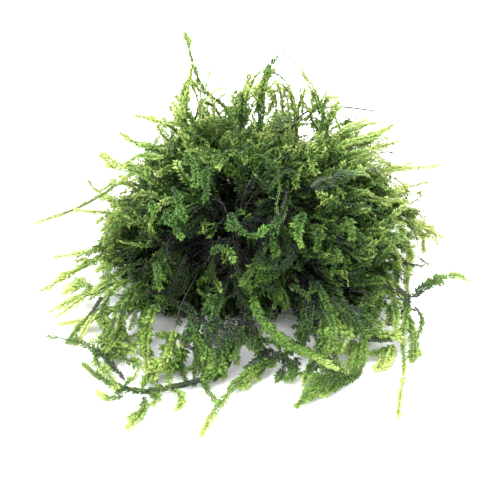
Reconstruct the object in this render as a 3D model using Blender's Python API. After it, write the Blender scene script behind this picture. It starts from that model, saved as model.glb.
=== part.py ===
# A loose clump of aquarium moss at rest on a flat surface.
# The mat is the tangle of older shoots, and each long shoot that leaves it is an object of its own.
# +Z is up, -Y is the front, and the origin is on the surface under the middle of the mat. Metres.

import math
import random

import bmesh
import bpy
from mathutils import Matrix, Vector, noise

MM = 0.001

# The mat
MAT_HALF_WIDTH = 30 * MM
MAT_HALF_DEPTH = 28 * MM
MAT_CENTRE = Vector((0, -2 * MM, 10 * MM))
MAT_RISE = 18.5 * MM  # from the centre to the top
MAT_SINK = 14 * MM  # from the centre down, before the flat foot is cut
MAT_LUMP = 3.2 * MM
MAT_LUMP_SPACING = 9 * MM
MAT_SUBDIVISIONS = 4

# Where the mat swells out: the way from its centre, and how far
SWELLINGS = [
    (Vector((22, -21, -3)), 5 * MM),
    (Vector((-23, -17, -3)), 3.5 * MM),
    (Vector((-13, 4, 14)), 2.5 * MM),
    (Vector((15, 5, 12)), 2.5 * MM),
    (Vector((0, 25, 2)), 2 * MM),
]
SWELLING_SPREAD = 0.35  # a swelling fades out this far round the mat, as a share of a right angle

# The short tufts that grow from the mat
TUFT_ROOT_INSET = 0.55 * MM  # from the edges of the face that a tuft grows from
TUFT_SHORTEST = 4.5 * MM
TUFT_LONGEST = 8.5 * MM
TUFT_MIDDLE = 0.75  # a tuft's width at half its length and at its tip, against its root
TUFT_TIP = 0.2
TUFT_ROOT_LEAN = 1  # how far the flow of the moss bends a tuft from the mat's own normal, at each end
TUFT_TIP_LEAN = 3
TUFT_FLOW_SPACING = 26 * MM
TUFT_LOWEST = 1.2 * MM
TUFT_SPACING = 3.4 * MM  # between two tufts, at their roots, middles and tips
TUFT_CLEAR_OF_SHOOTS = 4.1 * MM
TUFT_SEED = 7
FLOW_SEED = 3

# The long shoots
RING_SIDES = 6
RING_SPACING = 4.5 * MM
ROOT_SHARE = 0.75  # the shoot's width at its root and its tip, against its middle
TIP_SHARE = 0.3
THICKNESS_SHARE = 0.6  # a leafy shoot is flatter than it is wide
OUTWARD_FACING = 0.5  # how far a shoot's flat side turns from straight up to face away from the mat
TWIG_LEAN = 0.8  # how far a side twig leans towards the tip, against how far it spreads
TWIG_TIP = 0.3
TWIG_FADE = 1.15  # a twig at the root is this share of the longest, and the last ones are short
GAP = 0.3 * MM  # between a shoot and the mat it grows from
CREASE_ANGLE = math.radians(50)  # sharper folds than this are drawn as edges

# Each habit: half the width of the leafy stem, the longest side twig and whether twigs stand in pairs
HABITS = {
    "bare": (0.45 * MM, 0, False),
    "thin": (0.7 * MM, 1.6 * MM, False),
    "leafy": (1.0 * MM, 2.6 * MM, False),
    "broad": (1.1 * MM, 4.2 * MM, True),
}

# The routes of the shoots, from inside the mat to the tip, in millimetres.
# A shoot that starts outside the mat forks from a longer one, or its end comes up to one.
SHOOTS = {
    # At the top
    "shoot_top_tall": (
        "leafy",
        (-2, 6, 25), (-5.5, 9.5, 31), (-8.5, 11.5, 32.5), (-10.5, 13, 34.5), (-12, 14, 38.5), (-13.5, 15, 45.5),
    ),
    "shoot_top_crossing": ("leafy", (-13, 3, 22), (-13.5, 5.5, 30), (-13, 7.5, 36), (-12, 9, 41.5)),
    "shoot_top_arch": ("thin", (2, 8, 25), (2.5, 9.5, 33), (3, 10, 37), (4, 11, 40), (7, 13, 42.5)),
    "shoot_top_bowed": ("thin", (10, 9, 24), (9, 10, 32), (7, 9, 36.5), (5, 7.5, 38)),
    "shoot_top_right": ("leafy", (16, 5, 22), (15.5, 7, 28.5), (14, 9.5, 34), (11.5, 12, 37.5), (9, 13.5, 40)),
    "shoot_top_wiry": ("bare", (7, 12, 20), (11, 14.5, 25.5), (15, 16, 26.5), (20, 17.5, 26), (27.5, 19, 24)),
    "shoot_top_small": ("thin", (-2, 12, 23), (-1.5, 14, 30), (0, 16, 34.5)),
    "shoot_crown_left": ("thin", (-9, 10, 22), (-13, 9, 29), (-16.5, 8.5, 32.5)),
    # To the left
    "shoot_left_crest": ("leafy", (-10, 3, 22), (-16, 4, 29), (-20, 5, 30.5), (-24, 6, 31)),
    "shoot_left_shoulder": ("leafy", (-14, 1, 20), (-20.5, 2, 25.5), (-24, 2.5, 26.5), (-27, 3, 28.5)),
    "shoot_left_brow": ("thin", (-16, -5, 18), (-23, -4, 23.5), (-28, -2, 23.5), (-31, -1, 25.5)),
    "shoot_left_forked": ("thin", (-22, 6, 13), (-29, 5.5, 14), (-33, 5, 12.5), (-35, 4.5, 15.5)),
    "shoot_left_longest": ("thin", (-20, 1, 15), (-27, 1, 17.5), (-31, 0.5, 15), (-37, 0, 11.5), (-46.5, -1, 8)),
    "shoot_left_comb": ("thin", (-22, -4, 10), (-29.5, -3.5, 12.5), (-37, -3, 13)),
    "shoot_left_pale": ("leafy", (-24, -8, 9), (-31, -8.5, 7.5), (-36.5, -7.5, 5), (-42, -6.5, 3)),
    "shoot_left_reaching": ("leafy", (-23, -12, 6), (-31, -10.5, 5.5), (-37, -11, 3), (-44, -16, 1.5)),
    "shoot_left_low": ("leafy", (-22, -16, 5), (-30, -18.5, 5), (-36, -20, 3), (-41, -22.5, 1.5)),
    "shoot_left_foot": ("leafy", (-19, -20, 5), (-27, -24, 4), (-33, -25.5, 2), (-38.5, -26.5, 1.5)),
    # At the front left, mostly on the surface
    "runner_front_left": (
        "leafy",
        (-1, -24, 7), (-3, -35, 5), (-5, -41.5, 3), (-9, -43, 1.8), (-15, -45, 1.4),
        (-21, -46, 1.3), (-26, -44.5, 1.3), (-30, -41.5, 1.3), (-33, -38.5, 1.5),
    ),
    "runner_left": (
        "thin",
        (-24.5, -43, 1.5), (-27, -39.5, 2.3), (-30.5, -36, 3), (-34, -33.5, 2.6), (-37, -31.5, 1.8),
        (-41, -30, 1.2),
    ),
    "shoot_front_left_tip": ("leafy", (-20.5, -47.6, 1.2), (-20.5, -51, 1.1), (-23, -55.5, 1)),
    "shoot_front_left_spur": ("thin", (-24.6, -47.2, 1.1), (-27, -47.5, 1), (-29.5, -46, 1)),
    "shoot_drooping_left": ("leafy", (-19, -17, 9), (-24, -25, 8), (-26, -30, 4), (-26, -34.5, 1.5)),
    "shoot_drooping_inner": (
        "leafy",
        (-13, -20, 9), (-18, -28, 9), (-20.5, -33, 6), (-20.5, -38, 3.5), (-20, -42, 2.8),
    ),
    "shoot_drooping_pale": (
        "leafy",
        (-10, -20, 11), (-13.5, -30, 10), (-15, -35, 6.5), (-16, -38, 4.2), (-17.5, -41.5, 3),
    ),
    "shoot_drooping_hoop": (
        "bare",
        (-8, -22, 6), (-10.5, -33, 6), (-10.5, -38, 5), (-10.5, -40.8, 3.6), (-12, -41.8, 3),
    ),
    "shoot_drooping_middle": (
        "leafy",
        (-5, -24, 11), (-6.5, -32, 11), (-7.5, -36, 7.5), (-8.5, -38.3, 4.5),
    ),
    # At the front
    "frond_front": (
        "broad",
        (11, -22, 5), (10.5, -34, 5), (5.5, -39, 3.6), (0.5, -41.5, 2.6), (-2.5, -44, 1.8),
        (-5, -48, 1.4), (-7, -52, 1.2), (-9, -57.5, 1.1),
    ),
    "frond_front_feather": (
        "broad",
        (0, -24, 13), (1.5, -36, 13), (6.5, -40.5, 9.5), (12, -41.5, 6.5), (16.5, -42.5, 4.2),
    ),
    "twig_front_bare": ("bare", (5, -23, 9), (8.5, -30, 9.5), (11, -32.5, 10)),
    "shoot_front_droop": ("leafy", (10, -22, 13), (14, -30.5, 13.5), (16, -34, 9.5), (16.5, -36.8, 6)),
    "shoot_front_low": ("thin", (12, -22, 6), (13.5, -33, 6), (15, -37, 3), (17, -39.5, 1.4)),
    "frond_front_hook": (
        "leafy",
        (14, -20, 9), (18.5, -31, 11), (21, -35, 9.5), (22.5, -37.5, 6), (21.5, -40.5, 2.4),
        (19, -43, 1.4), (14.5, -45.5, 1.3), (9, -49.5, 1.1),
    ),
    # At the right
    "runner_front_right": ("leafy", (14, -20, 5), (19, -28.5, 4.5), (23.5, -32, 3.6), (27.5, -32.5, 3.4)),
    "twig_right_bare": ("bare", (18, -15, 9), (23, -25.5, 8.5), (26, -29.5, 6), (29, -31, 4.6)),
    "shoot_right_star": (
        "thin",
        (22, -12, 8), (28, -19, 8), (32, -24, 6), (31.5, -28, 4.5), (30.5, -32.5, 2.9),
        (30.5, -37, 1.6), (30, -42, 1.2), (29, -47, 1.1), (28, -53, 1),
    ),
    "shoot_right_curl": (
        "leafy",
        (33.5, -23.2, 6.3), (36, -21.5, 7.5), (39, -19.5, 8), (43, -17.5, 7), (45.5, -16, 4.5),
    ),
    "shoot_right_stay": ("thin", (24, -7, 7), (31, -7, 7.5), (34.5, -8, 5.5), (33, -13, 5), (32.5, -19.5, 5.5)),
    "shoot_right_loop": (
        "thin",
        (33.6, -25.2, 5), (34.8, -26.5, 3.6), (34.8, -28.5, 2.2), (33.4, -31, 1.4), (33, -36, 1.1),
    ),
    "shoot_right_comb": ("leafy", (28.7, -34.2, 2.1), (27, -35.2, 1.9), (24, -35.5, 1.6)),
    "frond_right": (
        "broad",
        (19, -2, 12), (25.5, -2.5, 19.5), (29.5, -2.5, 17.5), (33, -1.5, 12), (37, 0, 6.5), (42, 1.5, 2.5),
    ),
    "shoot_right_upper": ("leafy", (12, 0, 22), (20, 3, 26), (26, 5, 26.5), (30, 7, 28)),
    "shoot_right_pale": ("thin", (14, 9, 17), (20, 10.5, 23.5), (24, 11.5, 25), (27, 12.5, 25)),
    "shoot_right_reaching": ("thin", (20, 3, 15), (30, 6, 17.5), (36, 7, 17), (41, 8, 17)),
    "shoot_right_small": ("thin", (22, 10, 7), (32, 12, 7.5), (39.5, 13, 9)),
    "shoot_right_low": ("leafy", (22, 4, 6), (30, 4, 5), (37, 7.5, 1.5)),
    # Behind
    "shoot_back_right_long": ("leafy", (17, 12, 9), (26, 19, 8), (33, 25, 4), (38, 29, 1.6)),
    "shoot_back_right_high": ("thin", (13, 13, 17), (18, 19, 19), (22, 24, 18), (25, 29, 14)),
    "shoot_back_right_low": ("leafy", (11, 15, 7), (17, 26, 6.5), (21, 34, 3), (24, 41, 1.4)),
    "shoot_back_arch": ("leafy", (4, 17, 15), (6, 26, 19), (8, 33, 14), (9.5, 37, 7), (10, 40, 2)),
    "shoot_back_low": ("broad", (-3, 17, 7), (-4, 28, 7), (-4, 37, 3), (-2, 46, 1.4)),
    "shoot_back_high": ("leafy", (-2, 15, 18), (-3, 23, 21), (-5, 29, 18.5), (-8, 34, 13)),
    "shoot_back_left_low": ("leafy", (-12, 15, 7), (-17, 25, 6), (-20, 33, 3), (-22, 39, 1.4)),
    "shoot_back_left_high": ("thin", (-10, 13, 18), (-14, 19, 20.5), (-17, 24, 18.5)),
    "shoot_back_left_long": ("leafy", (-17, 11, 12), (-25, 18, 10), (-30, 24, 6), (-33, 28, 3)),
    "shoot_left_back_low": ("leafy", (-21, 8, 6), (-28, 12, 5), (-33, 16, 2.5), (-35, 20, 1.4)),
}

# Colour and roughness, by the first word of a piece's name
FINISHES = {
    "moss": ((0.035, 0.06, 0.02), 0.75),
    "runner": ((0.08, 0.19, 0.04), 0.6),
    "shoot": ((0.11, 0.26, 0.045), 0.55),
    "frond": ((0.16, 0.36, 0.05), 0.5),
    "twig": ((0.05, 0.03, 0.015), 0.7),
}


def clear_scene():
    for obj in list(bpy.data.objects):
        bpy.data.objects.remove(obj, do_unlink=True)


def finish_for(name):
    colour, roughness = FINISHES[name.split("_")[0]]
    material = bpy.data.materials.new(name)
    material.use_nodes = True
    surface = material.node_tree.nodes["Principled BSDF"]
    surface.inputs["Base Color"].default_value = (*colour, 1)
    surface.inputs["Roughness"].default_value = roughness
    surface.inputs["Metallic"].default_value = 0
    material.diffuse_color = (*colour, 1)
    return material


def object_from(bm, name):
    mesh = bpy.data.meshes.new(name)
    bmesh.ops.recalc_face_normals(bm, faces=bm.faces)
    bm.to_mesh(mesh)
    bm.free()
    obj = bpy.data.objects.new(name, mesh)
    bpy.context.scene.collection.objects.link(obj)
    return obj


def smooth_route(points):
    """Points about one ring spacing apart, on a smooth curve through a route's own points."""
    ends = [2 * points[0] - points[1], *points, 2 * points[-1] - points[-2]]
    route = [points[0]]
    for before, start, end, after in zip(ends, ends[1:], ends[2:], ends[3:]):
        count = max(1, round((end - start).length / RING_SPACING))
        for i in range(1, count + 1):
            t = i / count
            curve = (
                2 * start
                + (end - before) * t
                + (2 * before - 5 * start + 4 * end - after) * t**2
                + (3 * start - before - 3 * end + after) * t**3
            )
            route.append(curve / 2)
    return route


def width_share(along):
    """A shoot's width at a share of the way to its tip, against its middle."""
    if along < 0.5:
        return ROOT_SHARE + (1 - ROOT_SHARE) * min(1, 3 * along)
    return 1 - (1 - TIP_SHARE) * (2 * along - 1) ** 1.5


def ring_frames(route):
    """At each point of a route: along the shoot, across it, and through its thickness."""
    frames = []
    for i, point in enumerate(route):
        along = (route[min(i + 1, len(route) - 1)] - route[max(i - 1, 0)]).normalized()
        outward = Vector((point.x, point.y, 0)).normalized()
        across = along.cross(Vector((0, 0, 1)) + OUTWARD_FACING * outward).normalized()
        frames.append((along, across, across.cross(along)))
    return frames


def ring_matrix(point, frame, half_width):
    """Lays a unit circle across the shoot, squashed to its width and thickness."""
    along, across, through = frame
    turn = Matrix((across, through, along)).transposed().to_4x4()
    size = Matrix.Diagonal((half_width, half_width * THICKNESS_SHARE, 1, 1))
    return Matrix.Translation(point) @ turn @ size


def extruded(bm, face):
    """Extrudes a face where it stands, and gives the new face at its end."""
    grown = bmesh.ops.extrude_face_region(bm, geom=[face, *face.edges])["geom"]
    return next(part for part in grown if isinstance(part, bmesh.types.BMFace))


def grow_twig(bm, face, direction, length):
    """Draws one side face of a stem out to a narrow tip."""
    tip = extruded(bm, face)
    centre = tip.calc_center_median()
    for vertex in tip.verts:
        vertex.co = centre + (vertex.co - centre) * TWIG_TIP + direction * length


def side_face(cap, centre, way):
    """The face beside the end of a stem that lies furthest out in one way."""
    sides = [face for edge in cap.edges for face in edge.link_faces if face != cap]
    return max(sides, key=lambda face: (face.calc_center_median() - centre).dot(way))


def grow_shoot(name, habit, points):
    """A leafy stem along a route, with its twigs drawn out of its two edges."""
    half_width, twig_length, paired = HABITS[habit]
    route = smooth_route(points)
    frames = ring_frames(route)
    last = len(route) - 1
    rings = [
        ring_matrix(point, frame, half_width * width_share(i / last))
        for i, (point, frame) in enumerate(zip(route, frames))
    ]
    corner = Matrix.Rotation(math.pi / RING_SIDES, 4, "Z")
    bm = bmesh.new()
    bmesh.ops.create_circle(bm, cap_ends=True, segments=RING_SIDES, radius=1, matrix=rings[0] @ corner)
    cap = bm.faces[:][0]
    twigs = []
    for i in range(1, last + 1):
        cap = extruded(bm, cap)
        bmesh.ops.transform(bm, matrix=rings[i] @ rings[i - 1].inverted(), verts=cap.verts)
        if not twig_length or i in (1, last):
            continue
        along, across, _ = frames[i]
        for side in (1, -1) if paired else (1 if i % 2 else -1,):
            way = (across * side + along * TWIG_LEAN).normalized()
            length = twig_length * (TWIG_FADE - i / last)
            twigs.append((side_face(cap, route[i], across * side), way, length))
    for face, way, length in twigs:
        grow_twig(bm, face, way, length)
    for vertex in bm.verts:
        vertex.co.z = max(vertex.co.z, 0)
    return object_from(bm, name)


def swell(way):
    """How far the mat swells out in one direction from its centre."""
    rise = 0
    for middle, height in SWELLINGS:
        turned = middle.angle(way) / (math.pi / 2 * SWELLING_SPREAD)
        rise += height * math.exp(-(turned**2))
    return rise


def mat_surface():
    """The lumpy mound, with the flat foot on which it rests."""
    bm = bmesh.new()
    bmesh.ops.create_icosphere(bm, subdivisions=MAT_SUBDIVISIONS, radius=1)
    for vertex in bm.verts:
        way = vertex.co.normalized()
        rise = MAT_RISE if way.z > 0 else MAT_SINK
        place = Vector((way.x * MAT_HALF_WIDTH, way.y * MAT_HALF_DEPTH, way.z * rise))
        lump = noise.noise(place / MAT_LUMP_SPACING) * MAT_LUMP
        vertex.co = MAT_CENTRE + place + way * (lump + swell(way))
    bmesh.ops.bisect_plane(
        bm,
        geom=bm.verts[:] + bm.edges[:] + bm.faces[:],
        plane_co=(0, 0, 0),
        plane_no=(0, 0, 1),
        clear_inner=True,
    )
    rim = [edge for edge in bm.edges if edge.is_boundary]
    bmesh.ops.contextual_create(bm, geom=rim)
    bmesh.ops.recalc_face_normals(bm, faces=bm.faces)
    return bm


def tuft_path(face, length):
    """A tuft's root, middle and tip: it leaves along the normal and bends with the flow of the moss."""
    root = face.calc_center_median()
    flow = noise.noise_vector(root / TUFT_FLOW_SPACING)
    flow -= face.normal * flow.dot(face.normal)
    first = (face.normal + flow * TUFT_ROOT_LEAN).normalized()
    second = (face.normal + flow * TUFT_TIP_LEAN).normalized()
    middle = root + first * length / 2
    return root, middle, middle + second * length / 2


def chosen_tufts(bm, crowded):
    """Faces, each with the path of its tuft: apart from each other, off the foot and clear of the shoots."""
    chooser = random.Random(TUFT_SEED)
    faces = sorted(bm.faces, key=lambda face: tuple(face.calc_center_median()))
    chooser.shuffle(faces)
    chosen = []
    for face in faces:
        path = tuft_path(face, chooser.uniform(TUFT_SHORTEST, TUFT_LONGEST))
        if min(point.z for point in path) < TUFT_LOWEST:
            continue
        if any((a - b).length < TUFT_CLEAR_OF_SHOOTS for a in path for b in crowded):
            continue
        if any((a - b).length < TUFT_SPACING for _, other in chosen for a, b in zip(path, other)):
            continue
        chosen.append((face, path))
    return chosen


def grow_tuft(bm, face, path):
    """A tapering three-sided tuft on one face of the mat."""
    bmesh.ops.inset_individual(bm, faces=[face], thickness=TUFT_ROOT_INSET)
    corners = [vertex.co - path[0] for vertex in face.verts]
    for point, share in zip(path[1:], (TUFT_MIDDLE, TUFT_TIP)):
        face = extruded(bm, face)
        for vertex, corner in zip(face.verts, corners):
            vertex.co = point + corner * share


def build_mat(routes):
    noise.seed_set(FLOW_SEED)
    bm = mat_surface()
    crowded = [point for route in routes for point in route]
    for face, path in chosen_tufts(bm, crowded):
        grow_tuft(bm, face, path)
    return object_from(bm, "moss_mat")


def build_mat_clearance():
    """The mat grown by the gap, which cuts each shoot's root to the shape of what it grows from."""
    bm = mat_surface()
    moves = {vertex: vertex.normal * GAP for vertex in bm.verts}
    for vertex, move in moves.items():
        vertex.co += move
    cutter = object_from(bm, "mat_clearance")
    cutter.hide_render = True
    cutter.display_type = "WIRE"
    return cutter


def seat_on_mat(shoot, cutter):
    cut = shoot.modifiers.new("seat", "BOOLEAN")
    cut.operation = "DIFFERENCE"
    cut.object = cutter


def build():
    clear_scene()
    clump = bpy.data.objects.new("clump", None)
    bpy.context.scene.collection.objects.link(clump)
    cutter = build_mat_clearance()
    points = {name: [Vector(p) * MM for p in spec[1:]] for name, spec in SHOOTS.items()}
    pieces = [build_mat([smooth_route(route) for route in points.values()])]
    for name, route in points.items():
        shoot = grow_shoot(name, SHOOTS[name][0], route)
        seat_on_mat(shoot, cutter)
        pieces.append(shoot)
    for piece in pieces:
        piece.data.materials.append(finish_for(piece.name))
        piece.data.shade_smooth()
        piece.data.set_sharp_from_angle(angle=CREASE_ANGLE)
        piece.parent = clump


build()
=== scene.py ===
import math

import bmesh
import bpy
import numpy as np
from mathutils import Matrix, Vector


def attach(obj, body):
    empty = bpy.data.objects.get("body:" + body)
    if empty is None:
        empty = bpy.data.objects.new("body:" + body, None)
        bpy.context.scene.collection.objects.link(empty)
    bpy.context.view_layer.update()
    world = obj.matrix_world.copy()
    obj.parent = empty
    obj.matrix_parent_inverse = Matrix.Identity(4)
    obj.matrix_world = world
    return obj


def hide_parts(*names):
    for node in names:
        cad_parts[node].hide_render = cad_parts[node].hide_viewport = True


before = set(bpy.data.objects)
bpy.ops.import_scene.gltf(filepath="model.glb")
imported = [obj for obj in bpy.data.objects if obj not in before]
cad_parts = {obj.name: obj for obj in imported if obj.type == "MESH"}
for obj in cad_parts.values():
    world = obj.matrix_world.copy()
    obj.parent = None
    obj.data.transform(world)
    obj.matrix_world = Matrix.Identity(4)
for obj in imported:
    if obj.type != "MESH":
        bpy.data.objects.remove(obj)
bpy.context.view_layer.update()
mm = 0.001
print("frame loaded")

studio = {
    "floorColour": "#f6f6f5",
    "floorRoughness": 0.7,
    "floorGloss": 0.2,
    "floorSize": 3.0,  # metres
    "skyColour": "#ffffff",
    "skyStrength": 1.93,
    "cameraPlace": (0, -0.24078, 0.18812),  # metres, 38 degrees above the floor
    "lens": 100,
    "nearest": 0.01,  # metres, the camera sees nothing closer
    # place and side in metres, and watts
    "lamps": {
        "overheadSoftbox": ((-0.1, 0.12, 0.7), 0.6, 7.9),
        "frontLeftLamp": ((-0.45, -0.4, 0.55), 0.25, 6.0),
        "backRightLamp": ((0.5, 0.45, 0.4), 0.25, 5.0),
    },
}


def linear(hexColour):
    channels = [int(hexColour[i : i + 2], 16) / 255 for i in (1, 3, 5)]
    return [c / 12.92 if c <= 0.04045 else ((c + 0.055) / 1.055) ** 2.4 for c in channels] + [1]


def addNode(tree, kind, settings=None, links=None):
    node = tree.nodes.new(kind)
    for name, value in (settings or {}).items():
        if name in node.inputs:
            node.inputs[name].default_value = value
        else:
            setattr(node, name, value)
    for socket, source in (links or {}).items():
        tree.links.new(source, node.inputs[socket])
    return node


def rampAlong(tree, place, stops, colours):
    ramp = addNode(tree, "ShaderNodeValToRGB", links={"Fac": place})
    elements = ramp.color_ramp.elements
    while len(elements) < len(stops):
        elements.new(0.5)
    for element, at, colour in zip(elements, stops, colours):
        element.position = at
        element.color = linear(colour)
    return ramp.outputs["Color"]


def setStage():
    bm = bmesh.new()
    bmesh.ops.create_grid(bm, x_segments=2, y_segments=2, size=studio["floorSize"] / 2)
    mesh = bpy.data.meshes.new("floor")
    bm.to_mesh(mesh)
    bm.free()
    floor = bpy.data.objects.new("floor", mesh)
    bpy.context.collection.objects.link(floor)
    card = bpy.data.materials.new("matt_white_card")  # a dull paper sheet, so shadows stay soft
    card.use_nodes = True
    shader = card.node_tree.nodes["Principled BSDF"]
    shader.inputs["Base Color"].default_value = linear(studio["floorColour"])
    shader.inputs["Roughness"].default_value = studio["floorRoughness"]
    shader.inputs["Specular IOR Level"].default_value = studio["floorGloss"]
    mesh.materials.append(card)

    world = bpy.data.worlds.new("white_studio")
    bpy.context.scene.world = world
    world.use_nodes = True
    sky = world.node_tree.nodes["Background"]
    sky.inputs["Color"].default_value = linear(studio["skyColour"])
    sky.inputs["Strength"].default_value = studio["skyStrength"]

    for name, (place, side, watts) in studio["lamps"].items():
        data = bpy.data.lights.new(name, "AREA")
        data.size = side
        data.energy = watts
        lamp = bpy.data.objects.new(name, data)
        lamp.location = place
        lamp.rotation_euler = (-Vector(place)).to_track_quat("-Z", "Y").to_euler()
        bpy.context.collection.objects.link(lamp)

    data = bpy.data.cameras.new("camera")
    data.lens = studio["lens"]
    data.clip_start = studio["nearest"]
    camera = bpy.data.objects.new("camera", data)
    camera.location = studio["cameraPlace"]
    camera.rotation_euler = (-Vector(studio["cameraPlace"])).to_track_quat("-Z", "Y").to_euler()
    bpy.context.collection.objects.link(camera)
    bpy.context.scene.camera = camera
    bpy.context.scene.view_settings.view_transform = "Standard"


setStage()
print("floor, lamps and camera set")

# Live moss leaf, one cell thick and wet: light comes through it, and the water on it gives small glints.
# U runs from old growth to new, V from blue green to yellow green. The purple black at U 0 is painted
# shade, the colour of the clump's dark hollows.
leafFinish = {
    "stops": (0, 0.12, 0.28, 0.45, 0.65, 0.82, 1),
    # the first colour of each row, purple black, is painted shade for the clump's dark hollows
    "coolColours": ("#261a2e", "#2c3428", "#345230", "#446c2a", "#6c9642", "#9cbe62", "#cadc8a"),
    "warmColours": ("#2a1c2a", "#343820", "#425e22", "#587c24", "#809e40", "#aec464", "#dae28c"),
    "seeThrough": 0.5,
    "sheen": (0.24, 0.46),  # roughness, where wettest and driest
    "bend": 1.4,  # how much it refracts
    "wetFilm": 0.22,
    "filmRough": 0.12,
    "patch": 28,  # wet and dry patches across the map
    "patchEdges": (0.3, 0.7),  # of the noise, where wettest and driest
}
# Old stem, bare and woody: dark brown, a little shiny when wet. Its lowest stop, a dark purple grey, is
# painted shade like the leaf's.
stemFinish = dict(
    leafFinish,
    stops=(0, 0.12, 0.3, 0.55, 0.8, 1),
    # the first colour of each row is painted shade
    coolColours=("#28232a", "#2c2a24", "#323a22", "#40522a", "#64783a", "#98ac58"),
    warmColours=("#2e2428", "#382c20", "#463e20", "#565a26", "#7c8236", "#b4b860"),
    seeThrough=0.08,
    sheen=(0.5, 0.7),
    wetFilm=0.08,
)


def mossMaterial(name, finish):
    material = bpy.data.materials.new(name)
    material.use_nodes = True
    tree = material.node_tree
    tree.nodes.clear()
    spot = addNode(tree, "ShaderNodeUVMap", {"uv_map": "OFBake"}).outputs["UV"]
    parts = addNode(tree, "ShaderNodeSeparateXYZ", links={"Vector": spot}).outputs
    cool = rampAlong(tree, parts["X"], finish["stops"], finish["coolColours"])
    warm = rampAlong(tree, parts["X"], finish["stops"], finish["warmColours"])
    # sockets 6 and 7 are the mix node's two colours, and 2 is its colour result
    colour = addNode(
        tree, "ShaderNodeMix", {"data_type": "RGBA"}, {"Factor": parts["Y"], 6: cool, 7: warm}
    ).outputs[2]
    wetness = addNode(tree, "ShaderNodeTexNoise", {"Scale": finish["patch"]}, {"Vector": spot})
    wettest, driest = finish["patchEdges"]
    smooth, dull = finish["sheen"]
    rough = addNode(
        tree, "ShaderNodeMapRange",
        {"From Min": wettest, "From Max": driest, "To Min": smooth, "To Max": dull},
        {"Value": wetness.outputs["Fac"]},
    )
    surface = addNode(
        tree, "ShaderNodeBsdfPrincipled",
        {"IOR": finish["bend"], "Coat Weight": finish["wetFilm"], "Coat Roughness": finish["filmRough"]},
        {"Base Color": colour, "Roughness": rough.outputs["Result"]},
    )
    through = addNode(tree, "ShaderNodeBsdfTranslucent", links={"Color": colour})
    both = addNode(
        tree, "ShaderNodeMixShader", {"Fac": finish["seeThrough"]},
        {1: surface.outputs["BSDF"], 2: through.outputs["BSDF"]},
    )
    addNode(tree, "ShaderNodeOutputMaterial", links={"Surface": both.outputs["Shader"]})
    return material


wetLeaf = mossMaterial("wet_moss_leaf", leafFinish)
oldStem = mossMaterial("old_moss_stem", stemFinish)
print("materials made")

# The master shapes that are set out in rows. A leaf is 1 long and 1 wide, a stem 1 long and of radius 1.
masterShapes = {
    "keel": 0.09,  # how far the middle rib stands up, and the edges hang
    "widest": 0.38,  # where it is widest, of its length
    "tipDrop": 0.06,
    "rib": (1.3, 0.7),  # the rib's highest point: its place, of the widest's, and its height, of the keel
    "thinStemSides": 3,
    "roundStemSides": 5,
}


def shapeOf(bm):
    bmesh.ops.triangulate(bm, faces=bm.faces)
    bmesh.ops.recalc_face_normals(bm, faces=bm.faces)
    bm.verts.ensure_lookup_table()
    points = np.array([vertex.co[:] for vertex in bm.verts])
    faces = np.array([[vertex.index for vertex in face.verts] for face in bm.faces])
    bm.free()
    return points, faces


def leafShape(ribbed):
    bm = bmesh.new()
    keel, widest = masterShapes["keel"], masterShapes["widest"]
    corners = [(0, 0, 0), (-0.5, widest, -keel), (0.5, widest, -keel), (0, 1, -masterShapes["tipDrop"])]
    if ribbed:
        ribPlace, ribHeight = masterShapes["rib"]
        corners.append((0, widest * ribPlace, keel * ribHeight))
    for corner in corners:
        bm.verts.new(corner)
    bmesh.ops.convex_hull(bm, input=bm.verts)
    bm.verts.index_update()
    return shapeOf(bm)


def stemShape(sides):
    bm = bmesh.new()
    bmesh.ops.create_cone(bm, cap_ends=True, segments=sides, radius1=1, radius2=1, depth=1)
    bmesh.ops.translate(bm, vec=(0, 0, 0.5), verts=bm.verts)
    return shapeOf(bm)


plainLeaf = leafShape(ribbed=False)
ribbedLeaf = leafShape(ribbed=True)
thinStem = stemShape(masterShapes["thinStemSides"])
roundStem = stemShape(masterShapes["roundStemSides"])

lineShapes = {
    "fewestPoints": 4,
    "curveSteps": 16,  # between two points of a route
    "waveCount": 7,
    "waveSizes": (0.6, 1.4),
    "waveHeight": 3.2,  # the sum of the waves is divided by this
    "turning": 0.2,  # how quickly the flat side follows the way it should face
}


def unit(vectors):
    return vectors / np.maximum(np.linalg.norm(vectors, axis=-1, keepdims=True), 1e-9)


def evenly(line, step):
    # the same line with its points a step apart
    gaps = np.linalg.norm(np.diff(line, axis=0), axis=1)
    travelled = np.concatenate([[0], np.cumsum(gaps)])
    count = max(lineShapes["fewestPoints"], int(travelled[-1] / step) + 1)
    stops = np.linspace(0, travelled[-1], count)
    return np.column_stack([np.interp(stops, travelled, line[:, axis]) for axis in range(3)])


def smoothLine(points):
    # a smooth curve through a route's points
    points = np.array(points, float)
    ends = np.vstack([2 * points[0] - points[1], points, 2 * points[-1] - points[-2]])
    t = np.linspace(0, 1, lineShapes["curveSteps"], endpoint=False)[:, None]
    spans = [
        (2 * b + (c - a) * t + (2 * a - 5 * b + 4 * c - d) * t**2 + (3 * b - a - 3 * c + d) * t**3) / 2
        for a, b, c, d in zip(ends, ends[1:], ends[2:], ends[3:])
    ]
    return np.vstack(spans + [points[-1:]])


def waves(points, size, seed):
    # smooth ups and downs in space, about a size apart, mostly between -1 and 1
    chooser = np.random.default_rng(seed)
    count = lineShapes["waveCount"]
    ways = unit(chooser.normal(size=(count, 3))) * 2 * np.pi / size
    ways = ways * chooser.uniform(*lineShapes["waveSizes"], (count, 1))
    starts = chooser.uniform(0, 2 * np.pi, count)
    return np.sin(points @ ways.T + starts).sum(axis=-1) / lineShapes["waveHeight"]


def flow(points, size, seed):
    # waves in each of the three directions
    return np.stack([waves(points, size, seed + i) for i in range(3)], axis=-1)


class Pile:
    # what one piece is made of, before it becomes a mesh
    def __init__(self):
        self.leaves = []
        self.stems = []


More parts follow.
